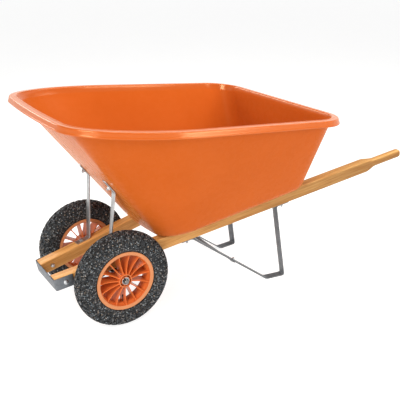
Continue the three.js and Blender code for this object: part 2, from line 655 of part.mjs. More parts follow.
// Everything that one side has, built for the right-hand side.
function sidePieces() {
  const seat = LEG_THICKNESS + GAP;
  const pieces = [
    ["beam", "wood", beam()],
    ["leg", "legSteel", leg()],
    ["strut", "zinc", strut()],
    ["axle_clamp", "zinc", axleClamp()],
    ["axle_spacer", "zinc", spacer()],
    ["axle_washer", "zinc", washer()],
    ["axle_split_pin", "zinc", splitPin()],
    ["inner_tube", "rubber", innerTube()],
    ["wheel_rim", "rim", rim()],
    ["outer_bush", "axle", bush(1)],
    ["inner_bush", "axle", bush(-1)],
    ["valve_cap", "rubber", valveCap()],
  ];
  TUB_BOLTS_X.forEach((x, i) => {
    const end = ["front", "rear"][i];
    const head = onBeam(x, 0, TUB_SEAT + TUB_WALL);
    const nut = onBeam(x, 0, -BEAM_HEIGHT - seat);
    pieces.push([`tub_${end}_bolt`, "zinc", domeBolt(head, ABOVE, TUB_WALL + BEAM_HEIGHT + seat + 16)]);
    pieces.push([`tub_${end}_nut`, "zinc", hexNut(nut, BELOW)]);
  });
  const footTop = onBeam(CLAMP_BOLTS_X[0], 0, GAP + STRUT_THICKNESS);
  const clampSeat = GAP * 2 + CLAMP_THICKNESS + 0.5;
  pieces.push(["strut_foot_bolt", "zinc", hexBolt(footTop, ABOVE, BEAM_HEIGHT + STRUT_THICKNESS + clampSeat + 12)]);
  pieces.push(["strut_foot_nut", "zinc", hexNut(onBeam(CLAMP_BOLTS_X[0], 0, -BEAM_HEIGHT - clampSeat), BELOW)]);
  pieces.push(["clamp_screw", "zinc",
    hexBolt(onBeam(CLAMP_BOLTS_X[1], 0, -BEAM_HEIGHT - clampSeat), BELOW, SCREW_LENGTH)]);
  const wall = frontWall(STRUT_TOP_Y, STRUT_BOLT_Z);
  const inside = wall.clone().addScaledVector(wallNormal(), -TUB_WALL - 0.8);
  const outside = wall.clone().addScaledVector(wallNormal(), WALL_SEAT + STRUT_THICKNESS / 2);
  pieces.push(["strut_top_bolt", "zinc", domeBolt(inside, wallNormal().negate(), TUB_WALL + WALL_SEAT + 14)]);
  pieces.push(["strut_top_nut", "zinc", hexNut(outside, wallNormal())]);
  const plate = onBeam(NOSE_BOLT_X, BRACKET_Y + BRACKET_THICKNESS / 2, BRACKET_DROP);
  const innerFace = onBeam(NOSE_BOLT_X, -BEAM_WIDTH / 2, BRACKET_DROP);
  pieces.push(["nose_bolt", "zinc", domeBolt(plate, ACROSS, BEAM_WIDTH + BRACKET_THICKNESS + 14)]);
  pieces.push(["nose_nut", "zinc", hexNut(innerFace, ACROSS.clone().negate())]);
  return pieces;
}

// The two braces cross, so one lies on its leg's upper face and the other on its leg's lower face.
function bracePieces(face) {
  const seat = LEG_THICKNESS / 2 + GAP + BRACE_THICKNESS;
  const normal = legFace().multiplyScalar(face);
  const head = braceFoot().addScaledVector(normal, seat);
  const nut = braceFoot().addScaledVector(normal, -LEG_THICKNESS / 2);
  const screw = opposite(onBeam(BRACE_TOP_X, 0, -(BEAM_HEIGHT + GAP + BRACE_THICKNESS + 0.6)));
  return [
    ["cross_brace", "legSteel", crossBrace(face)],
    ["brace_bolt", "zinc", smallBolt(head, normal)],
    ["brace_nut", "zinc", smallNut(nut, normal.clone().negate())],
    ["brace_screw", "zinc", hexBolt(screw, opposite(BELOW), SCREW_LENGTH - 2, 12)],
  ];
}

const smallBolt = (place, direction) =>
  turned([[0, -17], [3, -17], [3, GAP], [7, GAP], [0, 3.8]], 8, place, direction);

const smallNut = (place, direction) =>
  turned([[3.9, GAP], [6.5, GAP], [6.5, 5], [3.9, 5], [3.9, GAP]], 6, place, direction);

const model = new THREE.Group();
model.add(named("tub", "tub", tub()));
model.add(named("nose_bracket", "zinc", noseBracket()));
model.add(named("axle", "axle", axle()));
for (const [side, sign] of [["right", 1], ["left", -1]]) {
  const half = new THREE.Group();
  half.scale.y = sign;
  for (const [name, paint, geometry] of [...sidePieces(), ...bracePieces(sign)]) {
    half.add(named(`${side}_${name}`, paint, geometry));
  }
  model.add(named(`${side}_tyre`, "tyre", tyre(sign)));
  model.add(half);
}

// The origin is on the floor, under the middle of the model's box.
const wheelbarrow = new THREE.Group();
wheelbarrow.add(model);
const box = new THREE.Box3().setFromObject(model, true);
model.position.x = -(box.min.x + box.max.x) / 2;

export default wheelbarrow;
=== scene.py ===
"""Looks of a twin-wheel wheelbarrow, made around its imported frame.

Metres. +x runs from the wheels to the handles, +y to the user's right, +z up. Each piece of one side is made
for the right-hand side and mirrored for the left.
"""

from math import acos, copysign, cos, pi, radians, sin, sqrt, tan

import bmesh
import bpy
from mathutils import Matrix, Vector


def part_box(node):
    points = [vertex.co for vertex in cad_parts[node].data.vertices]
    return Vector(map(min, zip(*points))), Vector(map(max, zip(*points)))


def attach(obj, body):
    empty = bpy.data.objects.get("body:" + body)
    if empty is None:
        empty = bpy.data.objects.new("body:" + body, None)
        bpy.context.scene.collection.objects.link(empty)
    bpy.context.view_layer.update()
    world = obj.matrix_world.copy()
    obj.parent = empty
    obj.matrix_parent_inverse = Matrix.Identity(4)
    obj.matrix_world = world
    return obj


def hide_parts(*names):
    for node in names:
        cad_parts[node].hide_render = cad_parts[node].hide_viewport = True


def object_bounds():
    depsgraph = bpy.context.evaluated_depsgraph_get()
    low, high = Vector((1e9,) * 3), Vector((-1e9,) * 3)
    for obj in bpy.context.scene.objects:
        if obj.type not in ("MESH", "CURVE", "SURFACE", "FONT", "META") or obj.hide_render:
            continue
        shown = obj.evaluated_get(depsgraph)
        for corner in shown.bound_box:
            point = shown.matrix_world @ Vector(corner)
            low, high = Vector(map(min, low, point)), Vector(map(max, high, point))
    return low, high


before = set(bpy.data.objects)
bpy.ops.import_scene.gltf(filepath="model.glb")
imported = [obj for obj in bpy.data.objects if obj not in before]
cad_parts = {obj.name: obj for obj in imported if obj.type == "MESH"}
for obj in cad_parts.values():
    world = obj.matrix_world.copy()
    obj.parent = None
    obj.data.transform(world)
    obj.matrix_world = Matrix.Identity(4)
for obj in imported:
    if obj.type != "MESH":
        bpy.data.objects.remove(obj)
cad_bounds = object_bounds()

MM = 0.001
MIRROR = Matrix.Diagonal((1, -1, 1, 1))
Y_AXIS = Vector((0, 1, 0))


def middle(node):
    low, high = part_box(node)
    return (low + high) / 2


# ---- places taken from the frame, and the sizes that go with them ----

AXLE = middle("axle")
WHEEL = middle("right_tyre")
TUB_LOW, TUB_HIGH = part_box("tub")
NOSE_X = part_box("right_beam")[0].x

GAP = 0.4 * MM  # between parts that lie against each other
BEAM_SPLAY = 0.119  # outwards per unit of x
BEAM_RISE = 0.192  # upwards per unit of x
BEAM_WIDTH = 44 * MM
BEAM_HEIGHT = 46 * MM
NOSE_Y = 70.6 * MM
NOSE_TOP_Z = 195.1 * MM
GRIP_DIAMETER = 33 * MM
SHOULDER_START = 1320 * MM  # along x, from the nose
SHOULDER_END = 1380 * MM
HANDLE_END = 1506 * MM
GRIP_END = 13 * MM  # length of the grip's rounded end
GRIP_ROUNDING = 0.42  # radius of the grip's edges, as a share of its width
NOSE_CUT = 5 * MM  # the beam's end is cut square to x over this much

# Places along the beam, in millimetres behind the axle.
TUB_BOLTS = {"front": 287, "rear": 703}
STRUT_BOLT = -41
STRUT_FOOT = (-64, -10)  # the ends of the strut's foot, on top of the beam
CLAMP_SCREW = 41
CLAMP_EARS = (-58, -22, -17), (15, 20, 58)  # the strap under the beam, ahead of the axle and behind it
NOSE_BOLT = -184
LEG_TOP = (262, 306)  # the ends of the leg's front flange, under the beam
LEG_FOOT = (649, 732)  # the ends of the run along the floor
LEG_BACK = (672, 728)  # the ends of the leg's rear flange, under the beam
BRACE_BOLT = 492
BRACE_TOP = 334

ALONG = Vector((1, BEAM_SPLAY, BEAM_RISE)).normalized()
ACROSS = Vector((-BEAM_SPLAY, 1, 0)).normalized()
ABOVE = ALONG.cross(ACROSS)
FLOOR_NORMAL = Vector((-BEAM_RISE, 0, 1)).normalized()


def beam_top_z(x):
    return NOSE_TOP_Z + (x - NOSE_X) * BEAM_RISE


def on_beam(x, outward=0.0, above=0.0):
    """The point of the right beam's top middle line at x, moved outwards and away from its top face."""
    run = x - NOSE_X
    middle_line = Vector((x, NOSE_Y + run * BEAM_SPLAY, NOSE_TOP_Z + run * BEAM_RISE))
    return middle_line + ACROSS * outward + ABOVE * above


def beam_at(offset, outward=0.0, above=0.0):
    """As on_beam, for a distance behind the axle in millimetres."""
    return on_beam(AXLE.x + offset * MM, outward, above)


# ---- mesh building ----


def turns(count):
    return [2 * pi * i / count for i in range(count)]


def circle(radius, along, count):
    """A ring of points about the y axis."""
    return [Vector((radius * sin(a), along, radius * cos(a))) for a in turns(count)]


def bend(start, corner, end, t):
    """The point a share t along a curve from start to end that leans towards a corner."""
    return start * (1 - t) ** 2 + corner * 2 * t * (1 - t) + end * t * t


def ease(share):
    """Holds a share between 0 and 1 and softens both its ends."""
    share = min(1, max(0, share))
    return share * share * (3 - 2 * share)


class Form:
    """Vertices and faces of one piece, gathered from several closed skins."""

    def __init__(self):
        self.points = []
        self.faces = []

    def add(self, points, faces):
        start = len(self.points)
        self.points += [Vector(p) for p in points]
        self.faces += [[start + i for i in face] for face in faces]
        return self

    def join(self, other, place):
        """Takes in another form, moved by a matrix."""
        return self.add([place @ p for p in other.points], other.faces)

    def rings(self, rings, endless=False):
        """A skin over equally long rings of points, its ends closed, or joined to each other."""
        count = len(rings[0])
        points = [p for ring in rings for p in ring]
        faces = []
        for r in range(len(rings) if endless else len(rings) - 1):
            here = r * count
            following = ((r + 1) % len(rings)) * count
            for i in range(count):
                j = (i + 1) % count
                faces.append((here + i, here + j, following + j, following + i))
        if not endless:
            last = (len(rings) - 1) * count
            faces.append(tuple(range(count))[::-1])
            faces.append(tuple(last + i for i in range(count)))
        return self.add(points, faces)

    def turned(self, profile, segments, closed=True):
        """A skin turned about the y axis from (radius, distance along y) points."""
        return self.rings([circle(radius, along, segments) for radius, along in profile], endless=closed)


def rounded_outline(corners, steps):
    """A closed outline whose corners, each (x, y, radius), are rounded by that much."""
    outline = []
    for i, (x, y, radius) in enumerate(corners):
        corner = Vector((x, y))
        before = Vector(corners[i - 1][:2]) - corner
        after = Vector(corners[(i + 1) % len(corners)][:2]) - corner
        if radius <= 0:
            outline.append(corner)
            continue
        start = corner + before.normalized() * min(radius, before.length / 2)
        end = corner + after.normalized() * min(radius, after.length / 2)
        outline += [bend(start, corner, end, k / steps) for k in range(steps + 1)]
    return outline


def rounded_path(corners, reach, steps=8):
    """A path whose inner corners are bends that start `reach` before them."""
    path = [corners[0]]
    for i in range(1, len(corners) - 1):
        corner = corners[i]
        start = corner + (corners[i - 1] - corner).normalized() * reach
        end = corner + (corners[i + 1] - corner).normalized() * reach
        path += [bend(start, corner, end, k / steps) for k in range(steps + 1)]
    return path + [corners[-1]]


def subdivided(path, step):
    """The same path with a point about every step."""
    fine = []
    for a, b in zip(path, path[1:]):
        count = max(1, round((b - a).length / step))
        fine += [a.lerp(b, k / count) for k in range(count)]
    return fine + [path[-1]]


def sweep(path, across, section):
    """Carries a section of (side, normal) points along a path; across(i) is the side direction at point i."""
    rings = []
    for i, place in enumerate(path):
        back = (place - path[i - 1]).normalized() if i else (path[1] - place).normalized()
        ahead = (path[i + 1] - place).normalized() if i + 1 < len(path) else back
        heading = (back + ahead).normalized()
        mitre = 1 / max(heading.dot(ahead), 0.5)
        side = across(i).normalized()
        side = (side - heading * side.dot(heading)).normalized()
        normal = side.cross(heading)
        rings.append([place + side * s + normal * n * mitre for s, n in section])
    return Form().rings(rings)


def rounded_box(width, height, radius, steps):
    corners = [(width / 2, height / 2, radius), (-width / 2, height / 2, radius),
               (-width / 2, -height / 2, radius), (width / 2, -height / 2, radius)]
    return rounded_outline(corners, steps)


def strap(path, across, width, thickness):
    return sweep(path, across, rounded_box(width, thickness, 0.9 * MM, 3))


def new_object(name, data):
    made = bpy.data.objects.new(name, data)
    bpy.context.scene.collection.objects.link(made)
    return made


def piece(name, form, material, body, nodes, side=1, place=Matrix.Identity(4), crease=32):
    """Makes an object of a form, mirrors it for the left side, and ties it to the frame."""
    points = form.points
    faces = form.faces
    if side < 0:
        points = [Vector((p.x, -p.y, p.z)) for p in points]
        faces = [face[::-1] for face in faces]
        place = MIRROR @ place @ MIRROR
    mesh = bpy.data.meshes.new(name)
    mesh.from_pydata(points, [], faces)
    mesh.validate()
    made = new_object(name, mesh)
    tidy_normals(made)
    mesh.shade_smooth()
    mesh.set_sharp_from_angle(angle=radians(crease))
    mesh.materials.append(material)
    made.matrix_world = place
    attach(made, body)
    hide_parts(*nodes)
    return made


def tidy_normals(made):
    work = bmesh.new()
    work.from_mesh(made.data)
    bmesh.ops.remove_doubles(work, verts=work.verts, dist=1e-7)
    bmesh.ops.recalc_face_normals(work, faces=work.faces)
    work.to_mesh(made.data)
    work.free()


def standing(place, direction):
    """The matrix that stands a form made about the y axis on a place, its +y along a direction."""
    turn = Y_AXIS.rotation_difference(direction.normalized()).to_matrix().to_4x4()
    return Matrix.Translation(place) @ turn


# ---- materials ----

WHITE = (1.0, 1.0, 1.0)
AMBER = (1.0, 0.76, 0.46)  # of the gloss on orange plastic
AMBER_SHEEN = (1.0, 0.58, 0.16)  # of the soft light along its edges
SHEEN = 0.16


def feed(tree, node, inputs):
    """Gives each named input of a node a value or, where that is another node's output, a link from it."""
    for name, value in inputs.items():
        if isinstance(value, bpy.types.NodeSocket):
            tree.links.new(value, node.inputs[name])
        else:
            node.inputs[name].default_value = value
    return node


def new_material(name, roughness, metallic=0.0, specular=0.5, tint=WHITE):
    material = bpy.data.materials.new(name)
    material.use_nodes = True
    tree = material.node_tree
    shader = feed(tree, tree.nodes["Principled BSDF"], {
        "Roughness": roughness, "Metallic": metallic,
        "Specular IOR Level": specular, "Specular Tint": (*tint, 1)})
    return material, tree, shader


def object_coordinates(tree, scale=(1, 1, 1)):
    inputs = {"Vector": tree.nodes.new("ShaderNodeTexCoord").outputs["Object"], "Scale": scale}
    return feed(tree, tree.nodes.new("ShaderNodeMapping"), inputs).outputs["Vector"]


def axes_of(tree, vector):
    return feed(tree, tree.nodes.new("ShaderNodeSeparateXYZ"), {"Vector": vector}).outputs


def cells(tree, vector, scale):
    """Random red, green and blue values, one set for each small cell."""
    texture = feed(tree, tree.nodes.new("ShaderNodeTexVoronoi"), {"Vector": vector, "Scale": scale})
    return feed(tree, tree.nodes.new("ShaderNodeSeparateColor"), {"Color": texture.outputs["Color"]}).outputs


def noise(tree, vector, scale, detail, roughness=0.5):
    inputs = {"Vector": vector, "Scale": scale, "Detail": detail, "Roughness": roughness}
    return feed(tree, tree.nodes.new("ShaderNodeTexNoise"), inputs).outputs["Fac"]


def ramp(tree, factor, stops):
    """A colour ramp of (position, colour) stops."""
    made = feed(tree, tree.nodes.new("ShaderNodeValToRGB"), {"Fac": factor})
    elements = made.color_ramp.elements
    while len(elements) < len(stops):
        elements.new(0.5)
    for element, (position, colour) in zip(elements, stops):
        element.position = position
        element.color = (*colour, 1)
    return made.outputs["Color"]


def mix(tree, factor, colour, other, blend="MULTIPLY"):
    made = tree.nodes.new("ShaderNodeMix")
    made.data_type = "RGBA"
    made.blend_type = blend
    return feed(tree, made, {"Factor": factor, "A": colour, "B": other}).outputs["Result"]


def maths(tree, operation, inputs):
    made = tree.nodes.new("ShaderNodeMath")
    made.operation = operation
    return feed(tree, made, inputs).outputs["Value"]


def map_range(tree, value, start, end, low=0.0, high=1.0):
    """Carries a value that runs from start to end over to a range from low to high."""
    inputs = {"Value": value, "From Min": start, "From Max": end, "To Min": low, "To Max": high}
    return feed(tree, tree.nodes.new("ShaderNodeMapRange"), inputs).outputs["Result"]


def spread(tree, factor, low, high):
    """Carries the usual reach of a noise over to a range."""
    return map_range(tree, factor, 0.3, 0.7, low, high)


def bump(tree, height, strength, distance):
    inputs = {"Height": height, "Strength": strength, "Distance": distance}
    return feed(tree, tree.nodes.new("ShaderNodeBump"), inputs).outputs["Normal"]


def plastic(name, dark, light, roughness, gloss):
    """Moulded plastic: nearly even colour, faint clouds in gloss, a very fine orange-peel skin."""
    material, tree, shader = new_material(name, roughness, specular=gloss, tint=AMBER)
    vector = object_coordinates(tree)
    feed(tree, shader, {
        "Sheen Weight": SHEEN,
        "Sheen Tint": (*AMBER_SHEEN, 1),
        "Base Color": ramp(tree, noise(tree, vector, 5, 3), [(0.3, dark), (0.7, light)]),
        "Roughness": spread(tree, noise(tree, vector, 40, 4), roughness - 0.03, roughness + 0.04),
        "Normal": bump(tree, noise(tree, vector, 420, 2), 0.015, 0.4 * MM)})
    return material


def metal(name, dark, light, roughness, grain_scale):
    """Zinc or bare steel: faint crystal patches and uneven gloss."""
    material, tree, shader = new_material(name, roughness, metallic=0.95)
    vector = object_coordinates(tree)
    feed(tree, shader, {
        "Base Color": ramp(tree, cells(tree, vector, grain_scale)["Red"], [(0.0, dark), (1.0, light)]),
        "Roughness": spread(tree, noise(tree, vector, 60, 5, 0.6), roughness - 0.08, roughness + 0.12),
        "Normal": bump(tree, noise(tree, vector, 500, 3), 0.08, 0.3 * MM)})
    return material


def paint(name, dark, light, roughness):
    """Dark paint on steel, slightly worn."""
    material, tree, shader = new_material(name, roughness, metallic=0.35)
    vector = object_coordinates(tree)
    feed(tree, shader, {
        "Base Color": ramp(tree, noise(tree, vector, 35, 6, 0.6), [(0.35, dark), (0.7, light)]),
        "Roughness": spread(tree, noise(tree, vector, 90, 3), roughness - 0.06, roughness + 0.08),
        "Normal": bump(tree, noise(tree, vector, 300, 3), 0.08, 0.3 * MM)})
    return material


def rubber(name, dark, light, roughness):
    """Plain moulded rubber, a little dusty."""
    material, tree, shader = new_material(name, roughness, specular=0.4)
    vector = object_coordinates(tree)
    feed(tree, shader, {
        "Base Color": ramp(tree, noise(tree, vector, 160, 6, 0.7), [(0.4, dark), (0.7, light)]),
        "Normal": bump(tree, noise(tree, vector, 400, 3), 0.2, 0.5 * MM)})
    return material


def speckled_rubber(name):
    """Tyre rubber on a pebbled skin, with fine pale, bluish and brownish specks: the pale ones are painted
    highlights, glints on the tread.
    """
    material, tree, shader = new_material(name, 0.7, specular=0.35)
    vector = object_coordinates(tree)
    chance = cells(tree, vector, 290)
    # The top stops of this ramp, the pale specks, are painted highlights: glints on the tread's pebbled skin.
    shade = ramp(tree, chance["Red"],
                 [(0.0, (0.004, 0.005, 0.006)), (0.5, (0.011, 0.013, 0.016)), (0.74, (0.034, 0.037, 0.043)),
                  (0.9, (0.11, 0.12, 0.13)), (1.0, (0.34, 0.34, 0.35))])
    tint = ramp(tree, chance["Green"], [(0.0, (0.72, 0.90, 1.0)), (0.55, WHITE), (1.0, (1.0, 0.74, 0.52))])
    feed(tree, shader, {
        "Base Color": mix(tree, 1.0, shade, tint),
        "Roughness": spread(tree, noise(tree, vector, 90, 4), 0.58, 0.82),
        "Normal": bump(tree, noise(tree, vector, 240, 4, 0.65), 0.8, 1.2 * MM)})
    return material


def wood(name):
    """Pale oiled wood, its grain along x, with painted shade that makes it darker towards the grip and a
    painted highlight that makes faces that look up paler.
    """
    material, tree, shader = new_material(name, 0.46, specular=0.16)
    streaks = noise(tree, object_coordinates(tree, (2.2, 45, 45)), 4, 7, 0.62)
    bands = noise(tree, object_coordinates(tree, (0.9, 14, 14)), 2.4, 3)
    along = axes_of(tree, object_coordinates(tree, (0.7, 1, 1)))["X"]
    top_light_mask = axes_of(tree, tree.nodes.new("ShaderNodeTexCoord").outputs["Normal"])["Z"]
    colour = ramp(tree, streaks,
                  [(0.30, (0.57, 0.262, 0.072)), (0.5, (0.84, 0.440, 0.142)), (0.72, (0.96, 0.60, 0.235))])
    colour = mix(tree, 0.75, colour, ramp(tree, bands, [(0.32, (0.68, 0.56, 0.42)), (0.62, WHITE)]))
    # Painted shade: the wood gets darker towards the grip.
    colour = mix(tree, 1.0, colour, ramp(tree, along, [(0.3, WHITE), (0.85, (0.60, 0.59, 0.58))]))
    # Painted highlight: faces that look up are paler.
    colour = mix(tree, 1.0, colour, ramp(tree, top_light_mask, [(0.3, (0.70, 0.69, 0.67)), (0.8, WHITE)]))
    feed(tree, shader, {
        "Base Color": colour,
        "Roughness": spread(tree, streaks, 0.36, 0.5),
        "Normal": bump(tree, streaks, 0.12, 0.5 * MM)})
    return material


MATERIALS = {
    "tub_plastic": plastic("tub_plastic", (0.450, 0.082, 0.010), (0.477, 0.091, 0.013), 0.27, 0.03),
    "rim_plastic": plastic("rim_plastic", (0.58, 0.120, 0.024), (0.63, 0.135, 0.032), 0.36, 0.3),
    "wood": wood("wood"),
    "zinc_steel": metal("zinc_steel", (0.165, 0.18, 0.20), (0.20, 0.215, 0.235), 0.44, 90),
    "strut_steel": metal("strut_steel", (0.42, 0.425, 0.43), (0.52, 0.525, 0.53), 0.42, 90),
    # Painted shade: the washer's steel is a dark copy of fastener_steel, so the hub's middle reads as a
    # shaded recess.
    "shaded_washer_steel": metal("shaded_washer_steel", (0.10, 0.10, 0.10), (0.15, 0.15, 0.15), 0.4, 300),
    "leg_steel": paint("leg_steel", (0.085, 0.095, 0.106), (0.15, 0.163, 0.178), 0.42),
    "fastener_steel": metal("fastener_steel", (0.50, 0.52, 0.55), (0.64, 0.66, 0.68), 0.3, 300),
    # Painted shade: the axle's steel is darkened as well, for the dark middle of the hub.
    "axle_steel": metal("axle_steel", (0.17, 0.17, 0.17), (0.24, 0.24, 0.24), 0.36, 300),
    "tyre": speckled_rubber("tyre"),
    "inner_rubber": rubber("inner_rubber", (0.012, 0.012, 0.012), (0.03, 0.03, 0.03), 0.6),
}


# ---- tub ----

RIM_FALL = 0.081  # the rim drops by this much per unit of x
TUB_WALL = 4.5 * MM
TUB_SEAT = 1 * MM
LIP_WIDTH = 30 * MM
LIP_HEIGHT = 23 * MM
LIP_SHOULDER = 12 * MM
FLOOR_EDGE = 36 * MM
FLOOR_PLAN = {"front": 178.5, "rear": 788, "half_front": 205, "half_rear": 240,
              "front_corner": (150, 95), "rear_corner": 58, "bow": 6}
RIM_REAR_HALF = 424 * MM
RIM_FRONT_CORNER = (421, 214)
RIM_REAR_CORNER = 136
RIM_BOW = 9
LIP_GLOSS = 0.62
LIP_ROUGHNESS = 0.17

# What a station of the tub's wall holds: its corners, and the directions along the floor and up the wall.
FOOT, HEAD, INNER_FOOT, INNER_HEAD, INWARD, UP = range(6)


def rim_z(x):
    return TUB_HIGH.z - RIM_FALL * (x - TUB_LOW.x)


def tub_floor_z(x):
    return beam_top_z(x) + TUB_SEAT


def half_plan(front, rear, half_front, half_rear, front_corner, rear_corner, bow):
    """From the rear edge's middle round the right-hand side to the front edge's middle, in millimetres."""
    radius_x, radius_y = front_corner
    plan = [(rear, 0.0), (rear, (half_rear - rear_corner) / 3), (rear, (half_rear - rear_corner) * 2 / 3)]
    for k in range(15):
        a = k / 14 * pi / 2
        plan.append((rear - rear_corner * (1 - cos(a)), half_rear - rear_corner * (1 - sin(a))))
    side_start = Vector(plan[-1])
    side_end = Vector((front + radius_x, half_front))
    plan += [tuple(side_start.lerp(side_end, k / 8)) for k in range(1, 8)]
    for k in range(25):
        a = k / 24 * pi / 2
        plan.append((front + radius_x * (1 - sin(a)), half_front - radius_y * (1 - cos(a))))
    flat = half_front - radius_y
    for k in range(7, -1, -1):
        share = k / 8
        plan.append((front - bow * (1 - share * share), flat * share))
    return plan


def whole_plan(**sizes):
    """The whole outline as points behind the axle, in metres."""
    half = half_plan(**sizes)
    both = half + [(x, -y) for x, y in half[-2:0:-1]]
    return [Vector((AXLE.x + x * MM, y * MM, 0)) for x, y in both]


def plan_normals(plan):
    normals = []
    for i in range(len(plan)):
        run = plan[(i + 1) % len(plan)] - plan[i - 1]
        normals.append(Vector((run.y, -run.x, 0)).normalized())
    if normals[0].x < 0:
        normals = [-n for n in normals]
    return normals


def tub_form():
    """The tub as one wall: the floor's underside, up the outside, over the lip and down inside."""
    lip = LIP_WIDTH / MM
    rim_front = (TUB_LOW.x - AXLE.x) / MM + RIM_BOW
    floor_plan = whole_plan(**FLOOR_PLAN)
    top_plan = whole_plan(
        front=rim_front + lip, rear=(TUB_HIGH.x - AXLE.x) / MM - lip, half_front=TUB_HIGH.y / MM - lip,
        half_rear=RIM_REAR_HALF / MM - lip, front_corner=tuple(r - lip for r in RIM_FRONT_CORNER),
        rear_corner=RIM_REAR_CORNER - lip, bow=RIM_BOW)
    floor_normals = plan_normals(floor_plan)
    top_normals = plan_normals(top_plan)
    stations = []
    for low, high, outward in zip(floor_plan, top_plan, floor_normals):
        foot = Vector((low.x, low.y, tub_floor_z(low.x)))
        head = Vector((high.x, high.y, rim_z(high.x) - LIP_SHOULDER))
        inward = -outward
        inward.z = inward.x * BEAM_RISE
        inward.normalize()
        up = (head - foot).normalized()
        half_angle = acos(inward.dot(up)) / 2
        inner_foot = foot + FLOOR_NORMAL * TUB_WALL + inward * TUB_WALL / tan(half_angle)
        inner_head = head + (inward - up * inward.dot(up)).normalized() * TUB_WALL
        stations.append((foot, head, inner_foot, inner_head, inward, up))

    def inset_ring(corner, reach, direction=INWARD):
        return [station[corner] + station[direction] * reach for station in stations]

    def bend_ring(share, corner, reach):
        corners = inset_ring(corner, 0)
        ends = zip(inset_ring(corner, reach), corners, inset_ring(corner, reach, UP))
        return [bend(start, at, end, share) for start, at, end in ends]

    def cap_ring(corner, reach, share):
        ring = inset_ring(corner, reach)
        centre = sum(ring, Vector()) / len(ring)
        return [centre.lerp(p, share) for p in ring]

    def wall_ring(share, low, high, reach):
        return [p.lerp(q, share) for p, q in zip(inset_ring(low, reach, UP), inset_ring(high, 0))]

    def lip_ring(outward, up):
        ring = []
        for high, normal in zip(top_plan, top_normals):
            place = high + normal * outward
            place.z = rim_z(place.x) + up
            ring.append(place)
        return ring

    bends = [k / 10 for k in range(11)]
    walls = [0.12, 0.25, 0.4, 0.55, 0.7, 0.82, 0.92]
    caps = [0.01, 0.4, 0.8, 1]

    def face_rings(foot, head, edge):
        rings = [cap_ring(foot, edge + 14 * MM, share) for share in caps]
        rings.append(inset_ring(foot, edge + 4 * MM))
        rings += [bend_ring(share, foot, edge) for share in bends]
        return rings + [wall_ring(share, foot, head, edge) for share in walls]

    over_lip = [lip_ring(p.x, p.y) for p in lip_outline()]
    inside = face_rings(INNER_FOOT, INNER_HEAD, FLOOR_EDGE - 3 * MM)
    return Form().rings(face_rings(FOOT, HEAD, FLOOR_EDGE) + over_lip + inside[::-1])


def lip_outline():
    """The rolled rim's section from the outer to the inner wall, as (outwards, up) from the rim's top."""
    edge = LIP_WIDTH
    skirt = LIP_HEIGHT
    wall = TUB_WALL
    corners = [
        (-0.3 * MM, -11.5 * MM, 0), (3 * MM, -5 * MM, 3 * MM), (edge - 11 * MM, -5 * MM, 4 * MM),
        (edge - wall, -18 * MM, 4 * MM), (edge - wall, -skirt, 1 * MM), (edge + 0.4 * MM, -skirt, 1.5 * MM),
        (edge + 0.4 * MM, -18.8 * MM, 1.5 * MM), (edge - 1.3 * MM, -16.5 * MM, 2 * MM),
        (edge - 5 * MM, -2 * MM, 5 * MM), (edge - 9 * MM, -0.9 * MM, 4 * MM), (8 * MM, -0.9 * MM, 4 * MM),
        (5 * MM, 0.3 * MM, 2 * MM), (1 * MM, 0.3 * MM, 2.5 * MM), (-1.8 * MM, -2.2 * MM, 2.5 * MM),
        (-5 * MM, -13 * MM, 0),
    ]
    return rounded_outline(corners, 6)


def polish_lip(material):
    """Makes the plastic glossier from the bottom of the lip's skirt up to the rim's top."""
    tree = material.node_tree
    shader = tree.nodes["Principled BSDF"]
    axes = axes_of(tree, object_coordinates(tree))
    level = maths(tree, "MULTIPLY_ADD", {0: axes["X"], 1: RIM_FALL, 2: axes["Z"]})
    bottom = rim_z(0) - LIP_HEIGHT
    for name, polished in (("Specular IOR Level", LIP_GLOSS), ("Roughness", LIP_ROUGHNESS)):
        socket = shader.inputs[name]
        plain = socket.links[0].from_socket if socket.is_linked else socket.default_value
        feed(tree, shader, {name: map_range(tree, level, bottom - 2 * MM, bottom + 2 * MM, plain, polished)})


polish_lip(MATERIALS["tub_plastic"])
piece("tub_shell", tub_form(), MATERIALS["tub_plastic"], "frame", ["tub"], crease=50)


# ---- beams ----


def beam_form():
    """The beam along its own x axis from the nose, its top middle line at y = z = 0."""
    stretch = 1 / ALONG.x
    grip = GRIP_DIAMETER
    full = (BEAM_WIDTH, BEAM_HEIGHT, 3.5 * MM)
    round_grip = (grip, grip, grip * GRIP_ROUNDING)
    stations = [(0.0, (BEAM_WIDTH - 2 * MM, BEAM_HEIGHT - 2 * MM, 2.5 * MM)), (1.2 * MM, full)]
    stations += [(SHOULDER_START * share, full) for share in (0.2, 0.4, 0.6, 0.8, 1.0)]
    for k in range(1, 12):
        share = k / 12
        at = SHOULDER_START + (SHOULDER_END - SHOULDER_START) * share
        stations.append((at, tuple(a + (b - a) * ease(share) for a, b in zip(full, round_grip))))
    stations += [(SHOULDER_END, round_grip), (HANDLE_END - GRIP_END, round_grip)]
    for share in (0.2, 0.4, 0.6, 0.8, 0.93, 1.0):
        size = grip * (1 - GRIP_ROUNDING * (1 - sqrt(1 - share * share)))
        stations.append((HANDLE_END - GRIP_END * (1 - share), (size, size, size * GRIP_ROUNDING)))
    nose_facing = Vector((1, 0, BEAM_RISE)).normalized()
    rings = []
    for at, (width, height, radius) in stations:
        ring = []
        for p in rounded_box(width, height, radius, 6):
            above = p.y - BEAM_HEIGHT / 2
            skew = (p.x * nose_facing.dot(ACROSS) + above * nose_facing.dot(ABOVE)) / nose_facing.dot(ALONG)
            ring.append(Vector((at * stretch - (skew if at < NOSE_CUT else 0), p.x, above)))
        rings.append(ring)
    return Form().rings(rings)


BEAM_PLACE = Matrix.Translation(on_beam(NOSE_X)) @ Matrix((ALONG, ACROSS, ABOVE)).transposed().to_4x4()


# ---- steel straps ----

